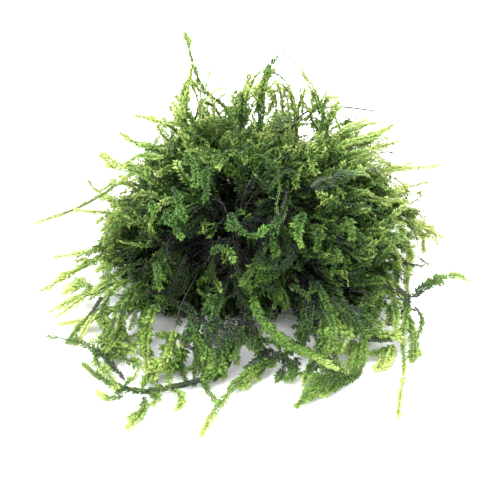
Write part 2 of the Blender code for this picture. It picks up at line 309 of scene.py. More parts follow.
def facings(ahead, facing):
    # the way the flat side faces at each point, turning as little as it can along the shoot
    flats = np.empty_like(ahead)
    facing = np.broadcast_to(facing, ahead.shape)
    last = facing[0]
    turning = lineShapes["turning"]
    for i, way in enumerate(ahead):
        last = (1 - turning) * last + turning * facing[i]
        last = last - way * last.dot(way)
        size = math.sqrt(last.dot(last))
        if size < 0.05:  # it looks along the shoot, so any way across will do
            last = np.cross(way, (0.3, 0.5, 0.8))
            size = math.sqrt(last.dot(last))
        last = last / size
        flats[i] = last
    return flats


def place(pile, base, way, top, length, width, age, hue):
    # sets out leaves: where each starts, the way it points and the way its upper face looks
    across = unit(np.cross(way, top))
    up = np.cross(across, way) * length[:, None]
    pile.leaves.append((base, across * width[:, None], way * length[:, None], up, age, hue))


growth = {
    "heart": (0, -25, 9),  # the darkest part of the clump, low at its front: partly old growth, partly painted shade of its shaded underside and core
    "darkestWithin": 14,  # of the heart
    "newBeyond": 44,
    "newer": 0.54,  # how much the distance from the heart lightens a leaf
    "behind": 0.4,  # how much less of that there is at the back
    "backFrom": 6,
    "backDepth": 20,  # and it is all at the back this much further on
    "patchSize": 13,
    "patches": 0.1,
    "patchSeed": 5,
    "oldHue": 0.02,  # between blue green, 0, and yellow green, 1
    "newHue": 0.37,  # how much yellower what is new is
    "lowWarmth": 0.14,  # how much yellower what grows by the floor is
    "lowBelow": 20,
    "highCoolness": 0.16,  # how much bluer what grows at the top is
    "highFrom": 18,
    "highDepth": 12,  # and all of it this much higher
    "huePatchSize": 19,
    "huePatches": 0.14,
    "huePatchSeed": 6,
}


# Newness by the distance from the heart: the darkening near it is partly older growth and partly painted
# shade.
def ageAt(points):
    away = np.linalg.norm(points - np.array(growth["heart"]), axis=-1)
    fresh = np.clip((away - growth["darkestWithin"]) / (growth["newBeyond"] - growth["darkestWithin"]), 0, 1)
    back = np.clip((points[:, 1] - growth["backFrom"]) / growth["backDepth"], 0, 1)
    fresh = fresh * (1 - growth["behind"] * back)
    patches = waves(points, growth["patchSize"], growth["patchSeed"])
    return growth["newer"] * fresh + growth["patches"] * patches


def hueAt(points, age):
    low = np.clip(1 - points[:, 2] / growth["lowBelow"], 0, 1)
    high = np.clip((points[:, 2] - growth["highFrom"]) / growth["highDepth"], 0, 1)
    patches = waves(points, growth["huePatchSize"], growth["huePatchSeed"])
    hue = growth["oldHue"] + growth["newHue"] * age
    hue = hue + growth["lowWarmth"] * low - growth["highCoolness"] * high
    return hue + growth["huePatches"] * patches


# What all shoots have in common. Two numbers are a mean and a scatter, or else a least and a most.
leafRows = {
    "ageing": 1.5,  # above 1, most of a shoot is old and only its end is new
    "firstLeaf": 0.65,  # the length of a leaf at the root, as a share
    "lengthening": 2,
    "lastLeaf": 0.22,  # how much shorter a leaf at the tip is
    "closing": 0.35,  # how much less the last leaves spread
    "tipPower": 6,  # the higher, the less of the shoot counts as its tip
    "tuftSize": 4,  # longer and shorter leaves follow each other this far apart
    "tuftShades": 0.05,
    "tuftSeeds": (90, 91),
    "ageScatter": 0.05,
    "hueScatter": 0.09,
    "spreadScatter": 0.15,
    "lift": (0.1, 0.16),
    "roll": (0.25, 0.3),
    "lengths": (0.75, 1.2),
    "widths": (0.85, 1.15),
    "stagger": 0.25,  # of a leaf step, between the two sides
    "foot": 0.5,  # a leaf starts this far out, of the stem's radius
}


class Shoot:
    # a shoot's line, and what its leaves take from each point of it
    def __init__(self, line, facing, habit, ages, thick, bareUntil):
        self.line = line = evenly(line, habit["leafStep"])
        self.ahead = unit(np.gradient(line, axis=0))
        if facing is None:
            facing = unit(line * (1, 1, 0)) * habit["outwardFacing"] + (0, 0, 1)
        self.flat = facings(self.ahead, np.asarray(facing, float))
        self.side = np.cross(self.ahead, self.flat)
        self.along = np.linspace(0, 1, len(line))
        self.tip = self.along ** leafRows["tipPower"]
        longer, lighter = (waves(line, leafRows["tuftSize"], seed) for seed in leafRows["tuftSeeds"])
        full = np.minimum(1, leafRows["firstLeaf"] + leafRows["lengthening"] * self.along)
        self.full = full * (1 - leafRows["lastLeaf"] * self.tip) * (1 + habit["uneven"] * longer)
        age = ages[0] + ages[1] * self.along ** leafRows["ageing"] + ageAt(line)
        self.hue = hueAt(line, age)
        self.age = age + leafRows["tuftShades"] * lighter
        self.kept = (1 if thick is None else thick(line)) * (self.along >= bareUntil)


def leafRow(pile, shoot, chooser, there, base, way, top, length, width):
    # one row of leaves, at those points where there is one
    age = np.clip(shoot.age + chooser.normal(0, leafRows["ageScatter"], len(there)), 0, 1)
    hue = np.clip(shoot.hue + chooser.normal(0, leafRows["hueScatter"], len(there)), 0, 1)
    place(pile, *(values[there] for values in (base, unit(way), top, length, width, age, hue)))


def sideLeaves(pile, shoot, habit, chooser):
    count = len(shoot.line)
    roll, rollScatter = leafRows["roll"]
    for hand in (-1, 1):
        there = chooser.random(count) < shoot.kept * (1 - habit["missing"])
        spread = math.radians(habit["spread"]) * (1 - leafRows["closing"] * shoot.tip)
        spread = spread + chooser.normal(0, leafRows["spreadScatter"], count)
        lift = chooser.normal(*leafRows["lift"], count)
        way = np.cos(spread)[:, None] * shoot.ahead + np.sin(spread)[:, None] * shoot.side * hand
        way = way + lift[:, None] * shoot.flat
        top = shoot.flat + shoot.side * (chooser.normal(0, rollScatter, count) - roll * hand)[:, None]
        length = habit["leafLength"] * shoot.full * chooser.uniform(*leafRows["lengths"], count)
        base = shoot.line + shoot.ahead * (leafRows["stagger"] * habit["leafStep"] * hand)
        base = base + shoot.side * (leafRows["foot"] * hand * habit["stemRadius"])
        width = length * habit["leafWidth"] * chooser.uniform(*leafRows["widths"], count)
        leafRow(pile, shoot, chooser, there, base, way, top, length, width)


topLeaves = {
    "below": 0.6,  # how many there are below, of those on top
    "lift": (0.35, 0.75),
    "sway": 0.4,
    "length": 0.85,
    "lengths": (0.75, 1.1),
    "tilt": 0.3,
}


def leavesOnTop(pile, shoot, habit, chooser):
    count = len(shoot.line)
    for face, share in ((1, habit["onTop"]), (-1, habit["onTop"] * topLeaves["below"])):
        there = chooser.random(count) < share * shoot.kept
        way = shoot.ahead + shoot.flat * (face * chooser.uniform(*topLeaves["lift"], count))[:, None]
        way = way + shoot.side * chooser.normal(0, topLeaves["sway"], count)[:, None]
        length = habit["leafLength"] * topLeaves["length"] * shoot.full
        length = length * chooser.uniform(*topLeaves["lengths"], count)
        top = shoot.flat * face - shoot.ahead * topLeaves["tilt"]
        leafRow(pile, shoot, chooser, there, shoot.line, way, top, length, length * habit["leafWidth"])


buds = {
    "turn": 2.4,  # from one leaf to the next, in radians
    "opening": (0.15, 0.7),
    "lengths": (0.55, 0.8),
    "width": 0.9,
    "depth": 0.2,  # in the shoot, in millimetres
    "newer": (0.06, 0.04),
    "yellower": (0.1, 0.06),
}


def budAtTip(pile, shoot, habit, chooser):
    count = habit["budLeaves"]
    turn = np.arange(count) * buds["turn"]
    around = shoot.side[-1] * np.cos(turn)[:, None] + shoot.flat[-1] * np.sin(turn)[:, None]
    way = unit(shoot.ahead[-1] + around * chooser.uniform(*buds["opening"], count)[:, None])
    length = habit["leafLength"] * chooser.uniform(*buds["lengths"], count)
    width = length * habit["leafWidth"] * buds["width"]
    base = np.repeat(shoot.line[-1:], count, axis=0) - way * buds["depth"]
    (newer, ageScatter), (yellower, hueScatter) = buds["newer"], buds["yellower"]
    age = np.clip(shoot.age[-1] + newer + chooser.normal(0, ageScatter, count), 0, 1)
    hue = np.clip(shoot.hue[-1] + yellower + chooser.normal(0, hueScatter, count), 0, 1)
    place(pile, base, way, around, length, width, age, hue)


stems = {"taper": 0.5, "hueScatter": 0.08}


def stemOf(pile, shoot, habit, chooser):
    stops = evenly(shoot.line, habit["segment"])
    share = np.linspace(0, 1, len(stops))
    radius = habit["stemRadius"] * (1 - stems["taper"] * share)
    shade = np.clip(np.interp(share, shoot.along, shoot.age) - habit["stemDarker"], 0, 1)
    tint = np.interp(share, shoot.along, shoot.hue) + chooser.normal(0, stems["hueScatter"], len(stops))
    tint = np.clip(tint, 0, 1)
    pile.stems.append((stops[:-1], stops[1:], radius[:-1], radius[1:], shade[:-1], tint[:-1]))


twigs = {
    "firstGap": 0.5,  # at most this share of a step comes before the first
    "gaps": (0.7, 1.3),
    "reaches": (0.65, 1.1),
    "shortest": 1.2,  # one that would be shorter doesn't grow
    "angleScatter": 7,
    "lift": (0.05, 0.14),
    "forward": 0.35,  # how far a branch bends to run along its shoot
    "sag": 0.12,
    "bendScatter": 0.12,
    "points": 7,
    "lowest": 0.7,  # above the floor
    "facingScatter": 0.2,
}


def twigLine(shoot, i, hand, reach, spread, chooser):
    # a side branch that leaves its shoot at point i, and bends the way the shoot goes
    angle = math.radians(spread + chooser.normal(0, twigs["angleScatter"]))
    start = math.cos(angle) * shoot.ahead[i] + math.sin(angle) * hand * shoot.side[i]
    start = start + chooser.normal(*twigs["lift"]) * shoot.flat[i]
    start = start / np.linalg.norm(start)
    end = start + twigs["forward"] * shoot.ahead[i] + np.array((0, 0, -twigs["sag"]))
    end = end + chooser.normal(0, twigs["bendScatter"], 3)
    end = end / np.linalg.norm(end)
    far = np.linspace(0, reach, twigs["points"])[:, None]
    line = shoot.line[i] + start * far + (end - start) * far**2 / (2 * reach)
    line[:, 2] = np.maximum(line[:, 2], twigs["lowest"])
    return line


def growTwigs(pile, shoot, habit, ages, chooser, thick, bareUntil):
    # side branches on alternate sides, or in pairs
    twig = dict(habit, **habit["branch"])
    whole = habit["leafStep"] * (len(shoot.line) - 1)
    at = max(habit["branchFrom"], bareUntil * whole)
    at = at + chooser.uniform(0, twigs["firstGap"]) * habit["branchStep"]
    hand = 1 if chooser.random() < 0.5 else -1
    while at < whole - habit["branchTo"]:
        i = int(at / habit["leafStep"])
        twigAges = (ages[0] + ages[1] * shoot.along[i] ** leafRows["ageing"], habit["branchNewer"])
        for way in (1, -1) if habit["paired"] else (hand,):
            reach = habit["branchLength"] * habit["outline"](at / whole)
            reach = reach * chooser.uniform(*twigs["reaches"])
            if reach >= twigs["shortest"]:
                line = twigLine(shoot, i, way, reach, habit["branchSpread"], chooser)
                facing = shoot.flat[i] + chooser.normal(0, twigs["facingScatter"], 3)
                growShoot(pile, line, facing, twig, twigAges, chooser, thick, branch=True)
        hand = -hand
        at += habit["branchStep"] * chooser.uniform(*twigs["gaps"])


def growShoot(pile, line, facing, habit, ages, chooser, thick=None, branch=False, bareUntil=0):
    # one leafy stem: a row of leaves on each side, some on top and below, a bud at the tip, and branches
    shoot = Shoot(line, facing, habit, ages, thick, bareUntil)
    sideLeaves(pile, shoot, habit, chooser)
    leavesOnTop(pile, shoot, habit, chooser)
    if habit["budLeaves"]:
        budAtTip(pile, shoot, habit, chooser)
    stemOf(pile, shoot, habit, chooser)
    if habit["branchStep"] and not branch:
        growTwigs(pile, shoot, habit, ages, chooser, thick, bareUntil)


meshing = {
    "stemOverlap": 0.06,  # of its length, so that one stem length runs into the next
    "leafFloor": 0.05,  # nothing sinks into the floor
    "stemFloor": 0.03,
    "ageAcross": 0.012,  # how much of the colour map a leaf or stem length covers
    "ageAlongLeaf": 0.05,
    "hueAlongLeaf": 0.16,
    "hueAlongStem": 0.05,
    "mapEdges": (0.01, 0.99),
}


def cornersAt(base, x, y, z, floor):
    # the corners of every copy of a master shape, from where it starts and its offsets in three directions
    placed = base[:, None] + x + y + z
    placed[:, :, 2] += np.maximum(floor - placed[:, :, 2].min(axis=1), 0)[:, None]
    return placed.reshape(-1, 3)


def spotsAt(age, hue, ages, hues):
    # where every corner of every copy reads its colour
    return np.stack([age[:, None] + ages, hue[:, None] + hues], axis=-1).reshape(-1, 2)


def facesAt(corners, copies, perCopy):
    # the triangles of every copy
    return (corners[None] + (np.arange(copies) * perCopy)[:, None, None]).reshape(-1, 3)


def meshOf(pile, leaf, stem):
    # every leaf and stem length of a pile as one set of points and triangles, with the colours' places
    base, across, way, up, age, hue = (np.concatenate(column) for column in zip(*pile.leaves))
    shape, corners = leaf
    x, y, z = (shape[None, :, axis, None] for axis in range(3))
    across, way, up = x * across[:, None], y * way[:, None], z * up[:, None]
    leafPoints = cornersAt(base, across, way, up, meshing["leafFloor"])
    ownLength = shape[:, 1] - 0.5
    leafSpots = spotsAt(
        age, hue,
        shape[:, 0] * meshing["ageAcross"] + ownLength * meshing["ageAlongLeaf"],
        ownLength * meshing["hueAlongLeaf"],
    )
    leafFaces = facesAt(corners, len(base), len(shape))

    start, stop, thick, thin, age, hue = (np.concatenate(column) for column in zip(*pile.stems))
    shape, corners = stem
    way = stop - start
    level = unit(np.cross(way, np.array((0.31, 0.23, 0.92))))  # any way across will do
    other = unit(np.cross(way, level))
    width = thick[:, None] + (thin - thick)[:, None] * shape[None, :, 2]
    overlap = meshing["stemOverlap"]
    stemPoints = cornersAt(
        start,
        (shape[None, :, 2, None] * (1 + 2 * overlap) - overlap) * way[:, None],
        (shape[None, :, 0] * width)[:, :, None] * level[:, None],
        (shape[None, :, 1] * width)[:, :, None] * other[:, None],
        meshing["stemFloor"],
    )
    stemSpots = spotsAt(
        age, hue, shape[:, 0] * meshing["ageAcross"], (shape[:, 2] - 0.5) * meshing["hueAlongStem"]
    )
    stemFaces = facesAt(corners, len(start), len(shape)) + len(leafPoints)
    spots = np.clip(np.concatenate([leafSpots, stemSpots]), *meshing["mapEdges"])
    points = np.concatenate([leafPoints, stemPoints])
    return points, np.concatenate([leafFaces, stemFaces]), spots, len(leafFaces)


triangles = {}


def addPiece(name, pile, leaf, stem, nodes):
    points, faces, spots, leafCount = meshOf(pile, leaf, stem)
    mesh = bpy.data.meshes.new(name)
    mesh.vertices.add(len(points))
    mesh.vertices.foreach_set("co", (points * mm).astype(np.float32).ravel())
    mesh.loops.add(faces.size)
    mesh.loops.foreach_set("vertex_index", faces.astype(np.int32).ravel())
    mesh.polygons.add(len(faces))
    mesh.polygons.foreach_set("loop_start", np.arange(0, faces.size, 3, dtype=np.int32))
    mesh.materials.append(wetLeaf)
    mesh.materials.append(oldStem)
    mesh.polygons.foreach_set("material_index", (np.arange(len(faces)) >= leafCount).astype(np.int32))
    growthMap = mesh.uv_layers.new(name="OFBake")
    growthMap.uv.foreach_set("vector", spots[faces.ravel()].astype(np.float32).ravel())
    mesh.update(calc_edges=True)
    piece = bpy.data.objects.new(name, mesh)
    bpy.context.collection.objects.link(piece)
    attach(piece, "root")
    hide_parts(*nodes)
    triangles[name] = len(faces)


# The habits of the shoots, in millimetres and degrees
baseHabit = {
    "outwardFacing": 0.5,  # how far the flat side turns from straight up to face outwards
    "leafStep": 0.36,
    "leafLength": 1.2,
    "leafWidth": 0.57,  # of its length
    "spread": 54,  # of a leaf from its stem
    "missing": 0.05,
    "uneven": 0.2,  # how much a leaf's length changes along the shoot
    "onTop": 0.6,
    "budLeaves": 7,
    "stemRadius": 0.16,
    "stemDarker": 0.25,
    "segment": 1.2,
    "branchStep": 7,
    "branchFrom": 4,
    "branchTo": 2,
    "branchLength": 3,
    "branchSpread": 45,
    "branchNewer": 0.15,
    "paired": False,
    "outline": lambda share: 1.1 - 0.6 * share,
    "branch": {"leafLength": 1.05, "stemRadius": 0.1, "budLeaves": 4},
}
# The side branches of a habit differ from their shoot in these values
smallTwig = {"leafLength": 0.85, "stemRadius": 0.09, "budLeaves": 3, "onTop": 0.2}
ropeTwig = {"leafLength": 0.9, "stemRadius": 0.1, "budLeaves": 4}
habits = {
    "leafy": baseHabit,
    "thin": dict(
        baseHabit, leafLength=0.95, leafStep=0.38, spread=50, missing=0.06, stemRadius=0.17,
        branchStep=9, branchLength=2.2, branch=dict(ropeTwig, leafLength=0.85),
    ),
    "lacy": dict(
        baseHabit, leafStep=0.4, leafLength=1.3, leafWidth=0.55, spread=58, missing=0.06, uneven=0.4,
        onTop=0.4, stemRadius=0.17, stemDarker=0.3,
        branchStep=2.8, branchFrom=2, branchLength=2.3, branchSpread=55, branch=ropeTwig,
    ),
    "feather": dict(
        baseHabit, leafStep=0.3, leafLength=1.6, leafWidth=0.6, spread=34, missing=0, onTop=1,
        stemRadius=0.1, stemDarker=0, branchStep=1.2, branchFrom=14, branchLength=2.2, branchSpread=40,
        paired=True, branchNewer=-0.12, branch=dict(smallTwig, leafStep=0.36),
    ),
    "broad": dict(
        baseHabit, stemRadius=0.18, branchStep=1.1, branchFrom=3, branchLength=2.8, branchSpread=50,
        paired=True, outline=lambda share: 1.1 - 0.75 * share, branch=smallTwig,
    ),
    "fan": dict(
        baseHabit, stemRadius=0.18, branchStep=0.8, branchFrom=0.6, branchLength=4.8, branchSpread=38,
        paired=True, outline=lambda share: 1.05 - 0.95 * share,
        branch=dict(smallTwig, leafLength=0.8, stemRadius=0.08),
    ),
    "twiggy": dict(
        baseHabit, branchStep=1.7, branchLength=2.8, branchSpread=58, paired=True,
        outline=lambda share: 1.15 - 1.5 * share,
    ),
    "rope": dict(
        baseHabit, leafLength=1.1, spread=30, onTop=0.8, stemRadius=0.38,
        branchStep=9, branchLength=2.2, branch=ropeTwig,
    ),
    "frond": dict(
        baseHabit, leafStep=0.34, leafLength=1.25, leafWidth=0.5, missing=0.06, uneven=0.35, onTop=0.8,
        stemRadius=0.12, stemDarker=0.15, branchStep=3.2, branchFrom=1.5, branchLength=1.9,
    ),
    "wire": dict(
        baseHabit, leafLength=0.6, missing=0.5, onTop=0.1, stemRadius=0.2, stemDarker=0, branchStep=0,
    ),
    "bare": dict(
        baseHabit, leafLength=0.8, leafWidth=0.4, missing=0.75, onTop=0.1, stemRadius=0.19, stemDarker=0.4,
        branchStep=8, branchLength=1.4, branch={"leafLength": 0.7, "stemRadius": 0.1, "budLeaves": 3},
    ),
    "wiry": dict(
        baseHabit, leafLength=0.65, leafWidth=0.35, spread=40, missing=0.4, onTop=0.2, stemRadius=0.3,
        stemDarker=0.4, branchStep=9, branchLength=0.9,
        branch={"leafLength": 0.6, "stemRadius": 0.12, "budLeaves": 3},
    ),
}

longShoots = {
    "seed": 20,
    "freshFrom": 0.24,  # newness at the root, before the place in the clump is counted
    "freshTip": 0.36,
    "scatter": 0.06,
    # the share of its length, from the root, that has no leaves
    "bareUntil": {
        "shoot_drooping_pale": 0.66, "shoot_drooping_inner": 0.4, "shoot_left_foot": 0.45,
        "runner_front_left": 0.2,
    },
}

# Each long shoot's habit, how much newer it is, and its route from inside the clump to the tip.
# The routes are the same as their solids have.
shootRoutes = {
    # At the top
    "shoot_top_tall": (
        "leafy", -0.15, (-2, 6, 25), (-5.5, 9.5, 31), (-8.5, 11.5, 32.5), (-10.5, 13, 34.5),
        (-12, 14, 38.5), (-13.5, 15, 45.5),
    ),
    "shoot_top_crossing": ("leafy", -0.1, (-13, 3, 22), (-13.5, 5.5, 30), (-13, 7.5, 36), (-12, 9, 41.5)),
    "shoot_top_arch": ("leafy", -0.1, (2, 8, 25), (2.5, 9.5, 33), (3, 10, 37), (4, 11, 40), (7, 13, 42.5)),
    "shoot_top_bowed": ("leafy", -0.12, (10, 9, 24), (9, 10, 32), (7, 9, 36.5), (5, 7.5, 38)),
    "shoot_top_right": (
        "leafy", -0.12, (16, 5, 22), (15.5, 7, 28.5), (14, 9.5, 34), (11.5, 12, 37.5), (9, 13.5, 40),
    ),
    "shoot_top_wiry": (
        "wiry", -0.6, (7, 12, 20), (11, 14.5, 25.5), (15, 16, 26.5), (20, 17.5, 26), (27.5, 19, 24),
    ),
    "shoot_top_small": ("leafy", -0.05, (-2, 12, 23), (-1.5, 14, 30), (0, 16, 34.5)),
    "shoot_crown_left": ("leafy", 0, (-9, 10, 22), (-13, 9, 29), (-16.5, 8.5, 32.5)),
    # To the left
    "shoot_left_crest": ("leafy", 0, (-10, 3, 22), (-16, 4, 29), (-20, 5, 30.5), (-24, 6, 31)),
    "shoot_left_shoulder": ("leafy", 0, (-14, 1, 20), (-20.5, 2, 25.5), (-24, 2.5, 26.5), (-27, 3, 28.5)),
    "shoot_left_brow": ("leafy", 0, (-16, -5, 18), (-23, -4, 23.5), (-28, -2, 23.5), (-31, -1, 25.5)),
    "shoot_left_forked": ("leafy", 0, (-22, 6, 13), (-29, 5.5, 14), (-33, 5, 12.5), (-35, 4.5, 15.5)),
    "shoot_left_longest": (
        "rope", -0.15, (-20, 1, 15), (-27, 1, 17.5), (-31, 0.5, 15), (-37, 0, 11.5), (-46.5, -1, 8),
    ),
    "shoot_left_comb": ("leafy", 0, (-22, -4, 10), (-29.5, -3.5, 12.5), (-37, -3, 13)),
    "shoot_left_pale": ("leafy", 0, (-24, -8, 9), (-31, -8.5, 7.5), (-36.5, -7.5, 5), (-42, -6.5, 3)),
    "shoot_left_reaching": ("leafy", 0, (-23, -12, 6), (-31, -10.5, 5.5), (-37, -11, 3), (-44, -16, 1.5)),
    "shoot_left_low": ("leafy", 0, (-22, -16, 5), (-30, -18.5, 5), (-36, -20, 3), (-41, -22.5, 1.5)),
    "shoot_left_foot": ("leafy", 0, (-19, -20, 5), (-27, -24, 4), (-33, -25.5, 2), (-38.5, -26.5, 1.5)),
    # At the front left, mostly on the surface
    "runner_front_left": (
        "rope", -0.32, (-1, -24, 7), (-3, -35, 5), (-5, -41.5, 3), (-9, -43, 1.8), (-15, -45, 1.4),
        (-21, -46, 1.3), (-26, -44.5, 1.3), (-30, -41.5, 1.3), (-33, -38.5, 1.5),
    ),
    "runner_left": (
        "thin", -0.2, (-24.5, -43, 1.5), (-27, -39.5, 2.3), (-30.5, -36, 3), (-34, -33.5, 2.6),
        (-37, -31.5, 1.8), (-41, -30, 1.2),
    ),
    "shoot_front_left_tip": ("leafy", 0.15, (-20.5, -47.6, 1.2), (-20.5, -51, 1.1), (-23, -55.5, 1)),
    "shoot_front_left_spur": ("thin", 0.2, (-24.6, -47.2, 1.1), (-27, -47.5, 1), (-29.5, -46, 1)),
    "shoot_drooping_left": ("lacy", 0.1, (-19, -17, 9), (-24, -25, 8), (-26, -30, 4), (-26, -34.5, 1.5)),
    "shoot_drooping_inner": (
        "lacy", 0.1, (-13, -20, 9), (-18, -28, 9), (-20.5, -33, 6), (-20.5, -38, 3.5), (-20, -42, 2.8),
    ),
    "shoot_drooping_pale": (
        "lacy", 0, (-10, -20, 11), (-13.5, -30, 10), (-15, -35, 6.5), (-16, -38, 4.2), (-17.5, -41.5, 3),
    ),
    "shoot_drooping_hoop": (
        "rope", -0.15, (-8, -22, 6), (-10.5, -33, 6), (-10.5, -38, 5), (-10.5, -40.8, 3.6), (-12, -41.8, 3),
    ),
    "shoot_drooping_middle": (
        "lacy", 0.05, (-5, -24, 11), (-6.5, -32, 11), (-7.5, -36, 7.5), (-8.5, -38.3, 4.5),
    ),
    # At the front
    "frond_front": (
        "twiggy", 0.15, (11, -22, 5), (10.5, -34, 5), (5.5, -39, 3.6), (0.5, -41.5, 2.6), (-2.5, -44, 1.8),
        (-5, -48, 1.4), (-7, -52, 1.2), (-9, -57.5, 1.1),
    ),
    "frond_front_feather": (
        "feather", 0.22, (0, -24, 13), (1.5, -36, 13), (6.5, -40.5, 9.5), (12, -41.5, 6.5),
        (16.5, -42.5, 4.2),
    ),
    "twig_front_bare": ("bare", 0, (5, -23, 9), (8.5, -30, 9.5), (11, -32.5, 10)),
    "shoot_front_droop": ("leafy", 0, (10, -22, 13), (14, -30.5, 13.5), (16, -34, 9.5), (16.5, -36.8, 6)),
    "shoot_front_low": ("thin", 0, (12, -22, 6), (13.5, -33, 6), (15, -37, 3), (17, -39.5, 1.4)),
    "frond_front_hook": (
        "leafy", 0, (14, -20, 9), (18.5, -31, 11), (21, -35, 9.5), (22.5, -37.5, 6), (21.5, -40.5, 2.4),
        (19, -43, 1.4), (14.5, -45.5, 1.3), (9, -49.5, 1.1),
    ),
    # At the right
    "runner_front_right": (
        "leafy", 0, (14, -20, 5), (19, -28.5, 4.5), (23.5, -32, 3.6), (27.5, -32.5, 3.4),
    ),
    "twig_right_bare": ("bare", 0, (18, -15, 9), (23, -25.5, 8.5), (26, -29.5, 6), (29, -31, 4.6)),
    "shoot_right_star": (
        "thin", 0, (22, -12, 8), (28, -19, 8), (32, -24, 6), (31.5, -28, 4.5), (30.5, -32.5, 2.9),
        (30.5, -37, 1.6), (30, -42, 1.2), (29, -47, 1.1), (28, -53, 1),
    ),
    "shoot_right_curl": (
        "leafy", -0.15, (33.5, -23.2, 6.3), (36, -21.5, 7.5), (39, -19.5, 8), (43, -17.5, 7),
        (45.5, -16, 4.5),
    ),
    "shoot_right_stay": (
        "thin", 0, (24, -7, 7), (31, -7, 7.5), (34.5, -8, 5.5), (33, -13, 5), (32.5, -19.5, 5.5),
    ),
    "shoot_right_loop": (
        "thin", 0, (33.6, -25.2, 5), (34.8, -26.5, 3.6), (34.8, -28.5, 2.2), (33.4, -31, 1.4),
        (33, -36, 1.1),
    ),
    "shoot_right_comb": ("leafy", 0, (28.7, -34.2, 2.1), (27, -35.2, 1.9), (24, -35.5, 1.6)),
    "frond_right": (
        "broad", 0, (19, -2, 12), (25.5, -2.5, 19.5), (29.5, -2.5, 17.5), (33, -1.5, 12), (37, 0, 6.5),
        (42, 1.5, 2.5),
    ),
    "shoot_right_upper": ("leafy", 0, (12, 0, 22), (20, 3, 26), (26, 5, 26.5), (30, 7, 28)),
    "shoot_right_pale": ("leafy", 0, (14, 9, 17), (20, 10.5, 23.5), (24, 11.5, 25), (27, 12.5, 25)),
    "shoot_right_reaching": ("leafy", 0, (20, 3, 15), (30, 6, 17.5), (36, 7, 17), (41, 8, 17)),
    "shoot_right_small": ("thin", 0, (22, 10, 7), (32, 12, 7.5), (39.5, 13, 9)),
    "shoot_right_low": ("leafy", 0, (22, 4, 6), (30, 4, 5), (37, 7.5, 1.5)),
    # Behind
    "shoot_back_right_long": ("leafy", 0, (17, 12, 9), (26, 19, 8), (33, 25, 4), (38, 29, 1.6)),
    "shoot_back_right_high": ("thin", 0, (13, 13, 17), (18, 19, 19), (22, 24, 18), (25, 29, 14)),
    "shoot_back_right_low": ("leafy", 0, (11, 15, 7), (17, 26, 6.5), (21, 34, 3), (24, 41, 1.4)),
    "shoot_back_arch": ("leafy", 0, (4, 17, 15), (6, 26, 19), (8, 33, 14), (9.5, 37, 7), (10, 40, 2)),
    "shoot_back_low": ("broad", 0, (-3, 17, 7), (-4, 28, 7), (-4, 37, 3), (-2, 46, 1.4)),
    "shoot_back_high": ("leafy", 0, (-2, 15, 18), (-3, 23, 21), (-5, 29, 18.5), (-8, 34, 13)),
    "shoot_back_left_low": ("leafy", 0, (-12, 15, 7), (-17, 25, 6), (-20, 33, 3), (-22, 39, 1.4)),
    "shoot_back_left_high": ("thin", 0, (-10, 13, 18), (-14, 19, 20.5), (-17, 24, 18.5)),
    "shoot_back_left_long": ("leafy", 0, (-17, 11, 12), (-25, 18, 10), (-30, 24, 6), (-33, 28, 3)),
    "shoot_left_back_low": ("leafy", 0, (-21, 8, 6), (-28, 12, 5), (-33, 16, 2.5), (-35, 20, 1.4)),
}

for number, (name, (habit, newer, *route)) in enumerate(shootRoutes.items()):
    chooser = np.random.default_rng(longShoots["seed"] + number)
    pile = Pile()
    start = longShoots["freshFrom"] + newer + chooser.normal(0, longShoots["scatter"])
    ages = (start, longShoots["freshTip"])
    bareUntil = longShoots["bareUntil"].get(name, 0)
    growShoot(pile, smoothLine(route), None, habits[habit], ages, chooser, bareUntil=bareUntil)
    addPiece(name + "_moss", pile, ribbedLeaf, roundStem, [name])
print("long shoots grown:", sum(triangles.values()), "triangles")

